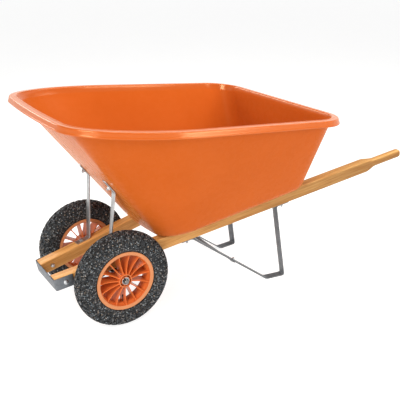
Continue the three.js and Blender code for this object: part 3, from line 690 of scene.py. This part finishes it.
BRACKET_THICKNESS = 4 * MM
BRACKET_SIDE = 66 * MM
BRACKET_GAP = 1.3 * MM
LEG_WIDTH = 32 * MM
LEG_THICKNESS = 5 * MM
LEG_DROP = -(BEAM_HEIGHT + GAP + LEG_THICKNESS / 2)
STRUT_WIDTH = 25 * MM
STRUT_THICKNESS = 4 * MM
BRACE_WIDTH = 22 * MM
BRACE_THICKNESS = 3 * MM
BRACE_BOW = 6 * MM
CLAMP_WIDTH = 30 * MM
CLAMP_THICKNESS = 4 * MM
AXLE_RADIUS = 8 * MM


def opposite(p):
    return Vector((p.x, -p.y, p.z))


def nose_bracket_form():
    drop = -BEAM_HEIGHT / 2
    out = BEAM_WIDTH / 2 + BRACKET_GAP + BRACKET_THICKNESS / 2
    front = on_beam(NOSE_X, 0, drop) - ALONG * (BRACKET_GAP + BRACKET_THICKNESS / 2)
    corner = on_beam(NOSE_X, out, drop)
    corner += ALONG * ((front.x - corner.x) / ALONG.x)
    right = [on_beam(NOSE_X + BRACKET_SIDE, out, drop), corner]
    corners = right + [opposite(p) for p in reversed(right)]
    height = Vector((-BEAM_RISE, 0, 1))
    return strap(rounded_path(corners, 6 * MM), lambda i: height, BEAM_HEIGHT - 1 * MM, BRACKET_THICKNESS)


def leg_on_floor(offset):
    """A point of the leg's run along the floor, under the beam's middle line."""
    place = beam_at(offset)
    return Vector((place.x, place.y, LEG_THICKNESS / 2))


def leg_run():
    """The top and the foot of the leg's sloping front run."""
    return beam_at(LEG_TOP[1], 0, LEG_DROP), leg_on_floor(LEG_FOOT[0])


def leg_form():
    corners = [beam_at(LEG_TOP[0], 0, LEG_DROP), *leg_run(), leg_on_floor(LEG_FOOT[1])]
    corners += [beam_at(offset, 0, LEG_DROP) for offset in LEG_BACK]
    return strap(rounded_path(corners, 10 * MM), lambda i: ACROSS, LEG_WIDTH, LEG_THICKNESS)


def brace_foot():
    """Where a cross brace is bolted to the leg's front run."""
    top, foot = leg_run()
    return top.lerp(foot, (BRACE_BOLT - LEG_TOP[1]) / (LEG_FOOT[0] - LEG_TOP[1]))


def leg_face():
    """The direction that the leg's front run faces."""
    top, foot = leg_run()
    return (foot - top).cross(ACROSS).normalized()


def cross_brace_form(face):
    """From the right leg's front run to the left beam's underside, over (face 1) or under (-1) the leg."""
    normal = leg_face()
    beam_normal = opposite(ABOVE)
    bolt = brace_foot() + normal * face * (LEG_THICKNESS / 2 + GAP + BRACE_THICKNESS / 2)
    screw = opposite(beam_at(BRACE_TOP, 0, -(BEAM_HEIGHT + GAP + BRACE_THICKNESS / 2)))
    run = screw - bolt
    on_leg = (run - normal * run.dot(normal)).normalized()
    on_underside = (run - beam_normal * run.dot(beam_normal)).normalized()
    halfway = bolt.lerp(screw, 0.53) + normal * face * BRACE_BOW
    corners = [bolt - on_leg * 13 * MM, bolt + on_leg * 26 * MM, halfway,
               screw - on_underside * 16 * MM, screw + on_underside * 13 * MM]
    path = subdivided(rounded_path(corners, 7 * MM, 6), 14 * MM)
    leg_across = normal.cross(on_leg)
    beam_across = beam_normal.cross(on_underside)
    start, end = corners[1], corners[3]

    def across(i):
        share = (path[i] - start).dot(end - start) / (end - start).length_squared
        return leg_across.lerp(beam_across, ease(share))

    return strap(path, across, BRACE_WIDTH, BRACE_THICKNESS)


def front_wall(y, z):
    """The tub's outer front wall at a height and a distance from the middle."""
    floor_x = AXLE.x + FLOOR_PLAN["front"] * MM
    top_x = TUB_LOW.x + RIM_BOW * MM + LIP_WIDTH
    floor_z = tub_floor_z(floor_x)
    up = (z - floor_z) / (rim_z(top_x) - LIP_SHOULDER - floor_z)
    flat_top = TUB_HIGH.y - RIM_FRONT_CORNER[1] * MM
    flat_floor = (FLOOR_PLAN["half_front"] - FLOOR_PLAN["front_corner"][1]) * MM
    share = y / (flat_floor + (flat_top - flat_floor) * up)
    bulge = 1 - share * share
    low = floor_x - FLOOR_PLAN["bow"] * MM * bulge
    high = top_x - RIM_BOW * MM * bulge
    return Vector((low + (high - low) * up, y, z))


STRUT_TOP_Y = 112.8 * MM
STRUT_BEND_Z = 487 * MM
STRUT_FLANGE_Z = 533 * MM
STRUT_BOLT_Z = 507 * MM
WALL_SLOPE = (front_wall(STRUT_TOP_Y, STRUT_FLANGE_Z) - front_wall(STRUT_TOP_Y, STRUT_BEND_Z)).normalized()
WALL_NORMAL = WALL_SLOPE.cross(Y_AXIS).normalized()
WALL_SEAT = 1 * MM + STRUT_THICKNESS / 2


def strut_form():
    seat = GAP + STRUT_THICKNESS / 2
    foot = [beam_at(x, 0, seat) for x in STRUT_FOOT]
    top = [front_wall(STRUT_TOP_Y, z) + WALL_NORMAL * WALL_SEAT for z in (STRUT_BEND_Z, STRUT_FLANGE_Z)]
    path = subdivided(rounded_path(foot + top, 8 * MM), 16 * MM)

    def across(i):
        return ACROSS.lerp(Y_AXIS, ease((path[i].z - foot[1].z) / (top[0].z - foot[1].z)))

    return strap(path, across, STRUT_WIDTH, STRUT_THICKNESS)


def axle_clamp_form():
    """A strap that hugs the axle from below, an ear under the beam ahead of it and one behind."""
    beam_middle = beam_at(0).y
    seat = BEAM_HEIGHT + GAP * 2 + CLAMP_THICKNESS / 2
    hug = AXLE_RADIUS + 0.7 * MM + CLAMP_THICKNESS / 2

    def ear(offset):
        x = AXLE.x + offset * MM
        return Vector((x, beam_middle, beam_top_z(x) - seat / ABOVE.z))

    path = [ear(offset) for offset in CLAMP_EARS[0]]
    for k in range(1, 25):
        a = radians(-90 + 180 * k / 24)
        path.append(Vector((AXLE.x + hug * sin(a), beam_middle, AXLE.z - hug * cos(a))))
    path += [ear(offset) for offset in CLAMP_EARS[1]]
    return strap(path, lambda i: Y_AXIS, CLAMP_WIDTH, CLAMP_THICKNESS)


# ---- fasteners, each standing on y = 0 with its head towards +y ----

BOLT_RADIUS = 4 * MM
SMALL_RADIUS = 3 * MM
NUT_FLATS = 13 * MM
NUT_HEIGHT = 6.5 * MM
HEX_HEAD_HEIGHT = 5.2 * MM
THREAD_PITCH = 1.25 * MM
SCREW_LENGTH = 30 * MM


def shank_profile(radius, length, thread):
    """From the tip at y = -length up to y = 0, with thread ridges over the last `thread` of it."""
    depth = radius * 0.14
    profile = [(0.0, -length), (radius - depth - 0.3 * MM, -length)]
    y = -length + 0.4 * MM
    for _ in range(int(thread / THREAD_PITCH)):
        profile += [(radius - depth, y), (radius, y + THREAD_PITCH / 2)]
        y += THREAD_PITCH
    profile += [(radius - depth, y), (radius, y + 0.5 * MM), (radius, 0.0)]
    return profile


def dome_bolt(length, radius=BOLT_RADIUS, head_radius=9 * MM, head_height=4.4 * MM, thread=16 * MM):
    profile = shank_profile(radius, length, thread)
    profile += [(radius, GAP), (head_radius, GAP), (head_radius, GAP + head_height * 0.18)]
    for k in range(1, 9):
        a = k / 8 * pi / 2
        profile.append((head_radius * cos(a), GAP + head_height * (0.18 + 0.82 * sin(a))))
    return Form().turned(profile[1:-1], 32, closed=False)


def hexagon(form, flats, high, bore=0.0):
    """A chamfered hexagon from the gap up to a height; a nut has a bore and both its ends chamfered."""
    low = GAP
    sides = 48
    step = pi / 3
    chamfer = flats / 2 * 0.97
    slope = tan(radians(30))

    def outline(y, lean):
        ring = []
        for a in turns(sides):
            radius = flats / 2 / cos((a + step / 2) % step - step / 2)
            ring.append(Vector((radius * sin(a), y + (radius - chamfer) * lean, radius * cos(a))))
        return ring

    rings = [circle(chamfer, low, sides), outline(low, slope if bore else 0), outline(high, -slope),
             circle(chamfer, high, sides)]
    if bore:
        easing = 0.5 * MM
        rings += [circle(bore + easing, high, sides), circle(bore, high - easing, sides),
                  circle(bore, low + easing, sides), circle(bore + easing, low, sides)]
    return form.rings(rings, endless=bool(bore))


def hex_bolt(length, flats=NUT_FLATS):
    form = Form().turned(shank_profile(BOLT_RADIUS, length, 20 * MM)[1:], 24, closed=False)
    return hexagon(form, flats, GAP + HEX_HEAD_HEIGHT)


def hex_nut(flats=NUT_FLATS, height=NUT_HEIGHT, bore=BOLT_RADIUS):
    return hexagon(Form(), flats, height, bore)


# ---- what is on the axle ----

HUB_HALF_LENGTH = 29 * MM
AXLE_BORE = AXLE_RADIUS + 0.3 * MM
HUB_BORE = 14.4 * MM
AXLE_PLACE = Matrix.Translation(AXLE)
AXLE_LINE = Matrix.Translation((AXLE.x, 0, AXLE.z))


def collar_profile(low, high, bore, radius):
    easing = 0.6 * MM
    corners = [(bore, low, easing), (radius, low, easing), (radius, high, easing), (bore, high, easing)]
    return [(p.x, p.y) for p in rounded_outline(corners, 2)]


def axle_form():
    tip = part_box("axle")[1].y
    edge = 1.5 * MM
    return Form().turned([(AXLE_RADIUS - edge, -tip), (AXLE_RADIUS, edge - tip), (AXLE_RADIUS, tip - edge),
                          (AXLE_RADIUS - edge, tip)], 40, closed=False)


def collar_form(node):
    low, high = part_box(node)
    return Form().turned(collar_profile(low.y, high.y, AXLE_BORE, (high.z - low.z) / 2), 40)


def bush_form(node, outer_end):
    """A steel sleeve round a plain bearing that is set back from its visible end."""
    low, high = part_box(node)
    radius = (high.z - low.z) / 2
    wall = 1.6 * MM
    setback = 7 * MM
    face, back = (high.y, low.y) if outer_end else (low.y, high.y)
    inward = 1 if back > face else -1
    edge = 0.4 * MM
    floor = face + inward * setback
    profile = [(radius - wall, face), (radius - edge, face), (radius, face + inward * edge), (radius, back),
               (AXLE_BORE, back), (AXLE_BORE, floor), (radius - wall, floor)]
    return Form().turned(profile, 40)


def split_pin_form():
    """Folded round wire: up through the axle, round an eye and down again, its tips spread."""
    low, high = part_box("right_axle_split_pin")
    y = (low.y + high.y) / 2 - AXLE.y
    wire = 0.85 * MM
    eye = 3.2 * MM
    bottom = low.z - AXLE.z
    eye_z = high.z - AXLE.z - eye - wire
    points = [Vector((2.2 * MM, y, bottom)), Vector((wire, y, bottom + 4 * MM)),
              Vector((wire, y, eye_z - eye))]
    for k in range(17):
        a = radians(-60 + 300 * k / 16)
        points.append(Vector((eye * cos(a), y, eye_z + eye * sin(a))))
    points += [Vector((-wire, y, eye_z - eye)), Vector((-wire, y, bottom + 5 * MM)),
               Vector((-2.2 * MM, y, bottom + 1 * MM))]
    section = [(wire * cos(a), wire * sin(a)) for a in turns(8)]
    return sweep(points, lambda i: Y_AXIS, section)


# ---- wheels, made about the wheel's middle, the axle along y ----

WHEEL_RADIUS = WHEEL.z
TYRE_HALF_WIDTH = (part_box("right_tyre")[1].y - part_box("right_tyre")[0].y) / 2
TYRE_WALL = 8 * MM
SECTION_RADIUS = 138 * MM  # of the widest part of the tyre's section
RIM_FLANGE_RADIUS = 111.5 * MM
BEAD_RADIUS = 101.6 * MM
BEAD_OUTSIDE = 27.2 * MM  # half widths of the tyre at its beads
BEAD_INSIDE = 24.3 * MM
TUBE_RADIUS = 136.5 * MM  # of the middle of the inner tube
RIM_HALF_WIDTH = 31.5 * MM
RIM_WALL = 4.5 * MM
HUB_RADIUS = 25 * MM
POCKET_DEPTH = 24 * MM
POCKET_RADII = (15.8 * MM, 21.6 * MM)
SPOKES = 15
SPOKE_THICKNESS = 3 * MM
SPOKE_DEPTH = 27  # millimetres from the wheel's middle to each edge of a spoke
SPOKE_HOLLOW = 6
HUB_RIBS = 6
CAP_RIBS = 12
TREAD_PITCHES = 42
WHEEL_PLACE = Matrix.Translation(WHEEL)

TREAD_DEPTH = 4.2 * MM
SIDE_DEPTH = 1.6 * MM  # of the rows on the tyre's sides
# Rows of tread blocks on one side: from and to which angle off the crown, shift along the tread, height.
SIDE_ROWS = [(14, 35, 0.5, TREAD_DEPTH), (41, 62, 0.0, TREAD_DEPTH), (67, 89, 0.5, TREAD_DEPTH),
             (93, 109, 0.0, SIDE_DEPTH)]
TREAD_ROWS = [(-end, -start, shift, height) for start, end, shift, height in reversed(SIDE_ROWS)]
TREAD_ROWS += [(-9, 9, 0.0, TREAD_DEPTH)] + SIDE_ROWS
COLUMNS = (0.0, 0.12, 0.18, 0.44, 0.5, 0.62, 0.68, 0.94)  # edges of blocks and grooves within one pitch
BLOCK_SHARE = 0.63
# Colour of the painted highlight on the rim's flanges.
FLANGE_HIGHLIGHT_COLOUR = (0.53, 0.206, 0.092)


def paint_flange_highlight(material):
    """Paints a highlight on the rim's two flanges, the widest part of the wheel: the plastic is paler there.
    """
    tree = material.node_tree
    shader = tree.nodes["Principled BSDF"]
    out = maths(tree, "ABSOLUTE", {0: axes_of(tree, object_coordinates(tree))["Y"]})
    share = map_range(tree, out, RIM_HALF_WIDTH - 3.5 * MM, RIM_HALF_WIDTH - 2 * MM)
    plain = shader.inputs["Base Color"].links[0].from_socket
    feed(tree, shader, {"Base Color": mix(tree, share, plain, (*FLANGE_HIGHLIGHT_COLOUR, 1), "MIX")})


paint_flange_highlight(MATERIALS["rim_plastic"])


def tyre_section(angle, depth):
    """(radius, half width) of the tyre's outer section at so many degrees off its crown, sunk by a depth."""
    power = 2 / 2.25
    sine = sin(radians(angle))
    cosine = cos(radians(angle))
    high = WHEEL_RADIUS - SECTION_RADIUS - depth
    wide = TYRE_HALF_WIDTH - depth
    out = copysign(abs(sine) ** power, sine) * wide
    up = copysign(abs(cosine) ** power, cosine) * high
    return SECTION_RADIUS + up, out


def tread_stations():
    """(angle, row) across the tread: a row's own angles, and None for the grooves between rows."""
    stations = []
    for start, end, shift, height in TREAD_ROWS:
        stations.append((start - 1.5, None))
        stations += [(start + (end - start) * k / 4, (shift, height)) for k in range(5)]
        stations.append((end + 1.5, None))
    return stations


def tyre_form():
    side_wall = [tyre_section(angle, TREAD_DEPTH * 0.8) for angle in (124, 118, 113)]
    bead_edge = BEAD_RADIUS + 1.6 * MM
    bead = [(bead_edge, BEAD_OUTSIDE), (RIM_FLANGE_RADIUS + 1.4 * MM, BEAD_OUTSIDE + 0.2 * MM),
            (RIM_FLANGE_RADIUS + 3.0 * MM, 30.5 * MM), (RIM_FLANGE_RADIUS + 3.4 * MM, 33.5 * MM)]
    inner = [(bead_edge, BEAD_INSIDE)]
    for angle in (125, 110, 90, 70, 50, 30, 10):
        radius, out = tyre_section(angle, TREAD_DEPTH + TYRE_WALL * 0.75)
        inner.append((radius, min(out, BEAD_INSIDE) if angle > 120 else out))
    segments = TREAD_PITCHES * len(COLUMNS)

    def ring_of(profile_at):
        points = []
        for i in range(segments):
            pitch, column = divmod(i, len(COLUMNS))
            radius, out, shear = profile_at(COLUMNS[column])
            a = 2 * pi * (pitch + COLUMNS[column] + shear) / TREAD_PITCHES
            points.append(Vector((radius * sin(a), out, radius * cos(a))))
        return points

    def plain(radius, out):
        return ring_of(lambda column: (radius, out, 0.0))

    def tread_ring(angle, row):
        shear = 0.35 * abs(angle) / 90

        def profile_at(column):
            raised = False
            if row is not None:
                place = (column - row[0]) % 1.0
                raised = place < BLOCK_SHARE
            depth = TREAD_DEPTH - row[1] if raised else TREAD_DEPTH
            radius, out = tyre_section(angle, depth)
            return radius, out, shear

        return ring_of(profile_at)

    rings = [plain(r, -w) for r, w in bead + side_wall]
    rings += [tread_ring(angle, row) for angle, row in tread_stations()]
    rings += [plain(r, w) for r, w in reversed(bead + side_wall)]
    rings += [plain(r, w) for r, w in inner]
    rings += [plain(r, -w) for r, w in reversed(inner)]
    return Form().rings(rings, endless=True)


def inner_tube_form():
    """A thin ring inside the tyre, and its valve stem down through the rim."""
    form = Form()
    form.turned([(TUBE_RADIUS + 31 * MM * cos(a), 27 * MM * sin(a)) for a in turns(20)], 64)
    stem_profile = [(2.6, -30), (3.2, -29), (3.2, -12), (4.2, -10), (4.2, 22)]
    stem = Form().turned([(radius * MM, along * MM) for radius, along in stem_profile], 20, closed=False)
    return form.join(stem, Matrix.Translation((0, 0, -106 * MM)) @ Matrix.Rotation(-pi / 2, 4, "X"))


def valve_cap_form():
    low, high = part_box("right_valve_cap")
    height = high.z - low.z
    outline = []
    for k, a in enumerate(turns(CAP_RIBS * 4)):
        radius = 4.5 * MM if k % 4 < 2 else 4.1 * MM
        outline.append((radius * cos(a), radius * sin(a)))
    rings = []
    for z, scale in ((0, 0.96), (0.05, 1), (0.78, 1), (0.9, 0.9), (1, 0.66)):
        rings.append([Vector((x * scale, y * scale, low.z - WHEEL.z + z * height)) for x, y in outline])
    return Form().rings(rings)


def spoke(form, angle):
    """A thin blade between hub and barrel, as deep as the hub, its edges hollowed in between."""
    inner = HUB_RADIUS - 2 * MM
    outer = BEAD_RADIUS - 3 * MM
    rings = []
    for k in range(13):
        share = k / 12
        radius = inner + (outer - inner) * share
        depth = (SPOKE_DEPTH - SPOKE_HOLLOW * sin(pi * share) ** 0.8) * MM
        back = -SPOKE_DEPTH * MM
        flare = 1 + 0.35 * abs(2 * share - 1) ** 3
        half = SPOKE_THICKNESS / 2 * flare
        edge = 0.8 * MM
        section = [(half, depth - edge), (half - edge, depth), (edge - half, depth), (-half, depth - edge),
                   (-half, edge + back), (edge - half, back), (half - edge, back), (half, edge + back)]
        rings.append([Vector((side, out, radius)) for side, out in section])
    return form.join(Form().rings(rings), Matrix.Rotation(angle, 4, "Y"))


def hub_rib(form, angle, end):
    """A thin wall across the pocket between the hub's two tubes."""
    half = 0.9 * MM
    face = HUB_HALF_LENGTH - 1.5 * MM
    floor = HUB_HALF_LENGTH - POCKET_DEPTH - 1 * MM
    inner, outer = POCKET_RADII[0] - 0.6 * MM, POCKET_RADII[1] + 0.6 * MM
    ring = [(-half, inner), (half, inner), (half, outer), (-half, outer)]
    wall = Form().rings([[Vector((x, end * y, r)) for x, r in ring] for y in (floor, face)])
    return form.join(wall, Matrix.Rotation(angle, 4, "Y"))


def turned_both_ways(form, half, steps, segments):
    """Turns a rounded outline that is a half and the half's mirror."""
    mirrored = [(r, -w, e) for r, w, e in reversed(half)]
    form.turned([(p.x, p.y) for p in rounded_outline(half + mirrored, steps)], segments)


def rim_form():
    edge = RIM_HALF_WIDTH
    flange = RIM_FLANGE_RADIUS
    bead = BEAD_RADIUS
    form = Form()
    half = [(92 * MM, 0, 0), (92 * MM, 12 * MM, 5 * MM), (bead - RIM_WALL, 20 * MM, 5 * MM),
            (bead - RIM_WALL, edge - 3 * MM, 2 * MM), (flange - 11.5 * MM, edge, 2 * MM),
            (flange, edge, 2.4 * MM), (flange, edge - 4 * MM, 1.2 * MM),
            (bead + 0.6 * MM, edge - 4.2 * MM, 2 * MM), (bead, 15 * MM, 3 * MM), (96 * MM, 11 * MM, 3 * MM),
            (96 * MM, 0, 0)]
    turned_both_ways(form, half, 4, 120)
    tip = HUB_HALF_LENGTH
    pocket = tip - POCKET_DEPTH
    inner, outer = POCKET_RADII
    half = [(HUB_BORE, tip, 0.3 * MM), (inner, tip, 0.4 * MM), (inner, pocket, 0.5 * MM),
            (outer, pocket, 0.5 * MM), (outer, tip, 0.6 * MM), (HUB_RADIUS, tip, 1.4 * MM)]
    turned_both_ways(form, half, 3, 60)
    for k in range(SPOKES):
        spoke(form, (k + 0.5) / SPOKES * 2 * pi)
    for k in range(HUB_RIBS):
        for end in (1, -1):
            hub_rib(form, (k + 0.25) / HUB_RIBS * 2 * pi, end)
    return form


# ---- both sides put together ----


def add_side(name, side):
    """All pieces of one side. The left one is the right one's mirror."""

    def add(node, form, slot, place=Matrix.Identity(4), body="frame", crease=32, look=None):
        full = f"{name}_{node}"
        piece(f"{full}_look", form, MATERIALS[look or slot], body, [full], side, place, crease)

    def bolt(node, form, place, direction):
        add(node, form, "fastener_steel", standing(place, direction))

    below = -ABOVE
    wheel = f"{name}_wheel"
    add("beam", beam_form(), "wood", BEAM_PLACE, crease=40)
    add("leg", leg_form(), "leg_steel")
    add("strut", strut_form(), "zinc_steel", look="strut_steel")
    add("axle_clamp", axle_clamp_form(), "zinc_steel")
    add("axle_spacer", collar_form("right_axle_spacer"), "axle_steel", AXLE_LINE)
    add("axle_washer", collar_form("right_axle_washer"), "fastener_steel", AXLE_LINE, look="shaded_washer_steel")
    add("axle_split_pin", split_pin_form(), "fastener_steel", AXLE_PLACE)
    add("cross_brace", cross_brace_form(side), "leg_steel")
    add("tyre", tyre_form(), "tyre", WHEEL_PLACE, wheel, crease=28)
    add("inner_tube", inner_tube_form(), "inner_rubber", WHEEL_PLACE, wheel)
    add("wheel_rim", rim_form(), "rim_plastic", WHEEL_PLACE, wheel, crease=38)
    for end in ("outer", "inner"):
        add(f"{end}_bush", bush_form(f"right_{end}_bush", end == "outer"), "axle_steel", AXLE_LINE, wheel,
            look="fastener_steel")
    add("valve_cap", valve_cap_form(), "inner_rubber", WHEEL_PLACE, wheel)

    nut = hex_nut()
    seat = LEG_THICKNESS + GAP
    for end, offset in TUB_BOLTS.items():
        bolt(f"tub_{end}_bolt", dome_bolt(TUB_WALL + BEAM_HEIGHT + seat + 16 * MM),
             beam_at(offset, 0, TUB_SEAT + TUB_WALL), ABOVE)
        bolt(f"tub_{end}_nut", nut, beam_at(offset, 0, -BEAM_HEIGHT - seat), below)
    clamp_seat = GAP * 2 + CLAMP_THICKNESS + 0.5 * MM
    through = BEAM_HEIGHT + STRUT_THICKNESS + clamp_seat + 12 * MM
    bolt("strut_foot_bolt", hex_bolt(through), beam_at(STRUT_BOLT, 0, GAP + STRUT_THICKNESS), ABOVE)
    bolt("strut_foot_nut", nut, beam_at(STRUT_BOLT, 0, -BEAM_HEIGHT - clamp_seat), below)
    bolt("clamp_screw", hex_bolt(SCREW_LENGTH), beam_at(CLAMP_SCREW, 0, -BEAM_HEIGHT - clamp_seat), below)
    wall = front_wall(STRUT_TOP_Y, STRUT_BOLT_Z)
    bolt("strut_top_bolt", dome_bolt(TUB_WALL + WALL_SEAT + 14 * MM),
         wall - WALL_NORMAL * (TUB_WALL + 0.8 * MM), -WALL_NORMAL)
    bolt("strut_top_nut", nut, wall + WALL_NORMAL * (WALL_SEAT + STRUT_THICKNESS / 2), WALL_NORMAL)
    plate = BEAM_WIDTH / 2 + BRACKET_GAP + BRACKET_THICKNESS
    bolt("nose_bolt", dome_bolt(BEAM_WIDTH + BRACKET_THICKNESS + 14 * MM),
         beam_at(NOSE_BOLT, plate, -BEAM_HEIGHT / 2), ACROSS)
    bolt("nose_nut", nut, beam_at(NOSE_BOLT, -BEAM_WIDTH / 2, -BEAM_HEIGHT / 2), -ACROSS)
    face = leg_face() * side
    bolt("brace_bolt", dome_bolt(17 * MM, SMALL_RADIUS, 7 * MM, 3.2 * MM, 8 * MM),
         brace_foot() + face * (LEG_THICKNESS / 2 + GAP + BRACE_THICKNESS), face)
    bolt("brace_nut", hex_nut(10 * MM, 5 * MM, SMALL_RADIUS), brace_foot() - face * LEG_THICKNESS / 2, -face)
    under = BEAM_HEIGHT + GAP + BRACE_THICKNESS + 0.6 * MM
    bolt("brace_screw", hex_bolt(SCREW_LENGTH - 2 * MM, 12 * MM), opposite(beam_at(BRACE_TOP, 0, -under)),
         opposite(below))


piece("nose_bracket_look", nose_bracket_form(), MATERIALS["zinc_steel"], "frame", ["nose_bracket"])
piece("axle_look", axle_form(), MATERIALS["axle_steel"], "frame", ["axle"], place=AXLE_PLACE)
add_side("right", 1)
add_side("left", -1)


# ---- camera, light and floor ----

CAMERA_AZIMUTH = radians(-31.94)
CAMERA_ELEVATION = radians(20.95)
CAMERA_DISTANCE = 2.7016
CAMERA_LENS = 60.14  # millimetres, on a sensor 36 wide
WARM = (1.0, 0.95, 0.86)
CAMERA_AIM = Vector((-0.0878, 0, -0.0627))  # from the middle of the frame's box


def aim(thing, place, direction):
    thing.location = place
    thing.rotation_euler = direction.to_track_quat("-Z", "Y").to_euler()


def add_camera():
    low, high = Vector(cad_bounds[0]), Vector(cad_bounds[1])
    target = (low + high) / 2 + CAMERA_AIM
    level = cos(CAMERA_ELEVATION)
    back = Vector((sin(CAMERA_AZIMUTH) * level, -cos(CAMERA_AZIMUTH) * level,
                   sin(CAMERA_ELEVATION)))
    data = bpy.data.cameras.new("camera")
    data.lens = CAMERA_LENS
    data.sensor_width = 36
    camera = new_object("camera", data)
    aim(camera, target + back * CAMERA_DISTANCE, -back)
    bpy.context.scene.camera = camera


def add_softbox(name, place, target, size, power, colour=WHITE):
    data = bpy.data.lights.new(name, "AREA")
    data.shape = "RECTANGLE"
    data.size, data.size_y = size
    data.energy = power
    data.color = colour
    aim(new_object(name, data), place, Vector(target) - Vector(place))


BACKDROP_REACH = 30
BACKDROP_HEIGHT = 11


def add_floor():
    """A round white floor with a white wall standing all round it."""
    sides = 64
    points = [(BACKDROP_REACH * cos(a), BACKDROP_REACH * sin(a), 0) for a in turns(sides)]
    points += [(x, y, BACKDROP_HEIGHT) for x, y, _ in points]
    faces = [tuple(range(sides))]
    for k in range(sides):
        after = (k + 1) % sides
        faces.append((k, sides + k, sides + after, after))
    mesh = bpy.data.meshes.new("floor")
    mesh.from_pydata(points, [], faces)
    floor = new_object("floor", mesh)
    material, tree, shader = new_material("floor_paper", 0.85, specular=0.0)
    clouds = noise(tree, object_coordinates(tree), 3, 2)
    feed(tree, shader, {
        "Emission Color": (*WHITE, 1),
        "Emission Strength": 0.8,
        "Base Color": ramp(tree, clouds, [(0.3, (0.41, 0.41, 0.41)), (0.7, (0.43, 0.43, 0.43))])})
    mesh.materials.append(material)


def add_world():
    world = bpy.data.worlds.new("studio")
    bpy.context.scene.world = world
    world.use_nodes = True
    tree = world.node_tree
    feed(tree, tree.nodes["Background"], {"Color": (*WHITE, 1), "Strength": 0.24})


add_camera()
add_world()
add_floor()
add_softbox("key", (-3.0, -1.7, 2.7), (0, 0, 0.5), (1.3, 1.3), 74, WARM)
add_softbox("side", (1.0, -2.5, 1.6), (-0.4, -0.4, 0.75), (1.1, 0.8), 27, WARM)
add_softbox("fill", (-2.6, -1.9, 0.9), (0, -0.2, 0.4), (1.0, 1.0), 17, WARM)
add_softbox("rear", (2.3, -0.5, 2.9), (0.6, 0, 0.55), (1.2, 1.2), 28, WARM)
add_softbox("strip", (0.9, -1.3, 3.1), (-0.1, -0.1, 0.7), (2.3, 0.7), 36, WARM)
add_softbox("top", (0.1, 0.3, 3.3), (0.2, 0.1, 0.4), (2.0, 1.6), 52, WARM)
add_softbox("back", (-1.6, 3.0, 1.9), (0, 0, 0.6), (1.8, 1.0), 40)
bpy.context.scene.view_settings.view_transform = "Standard"
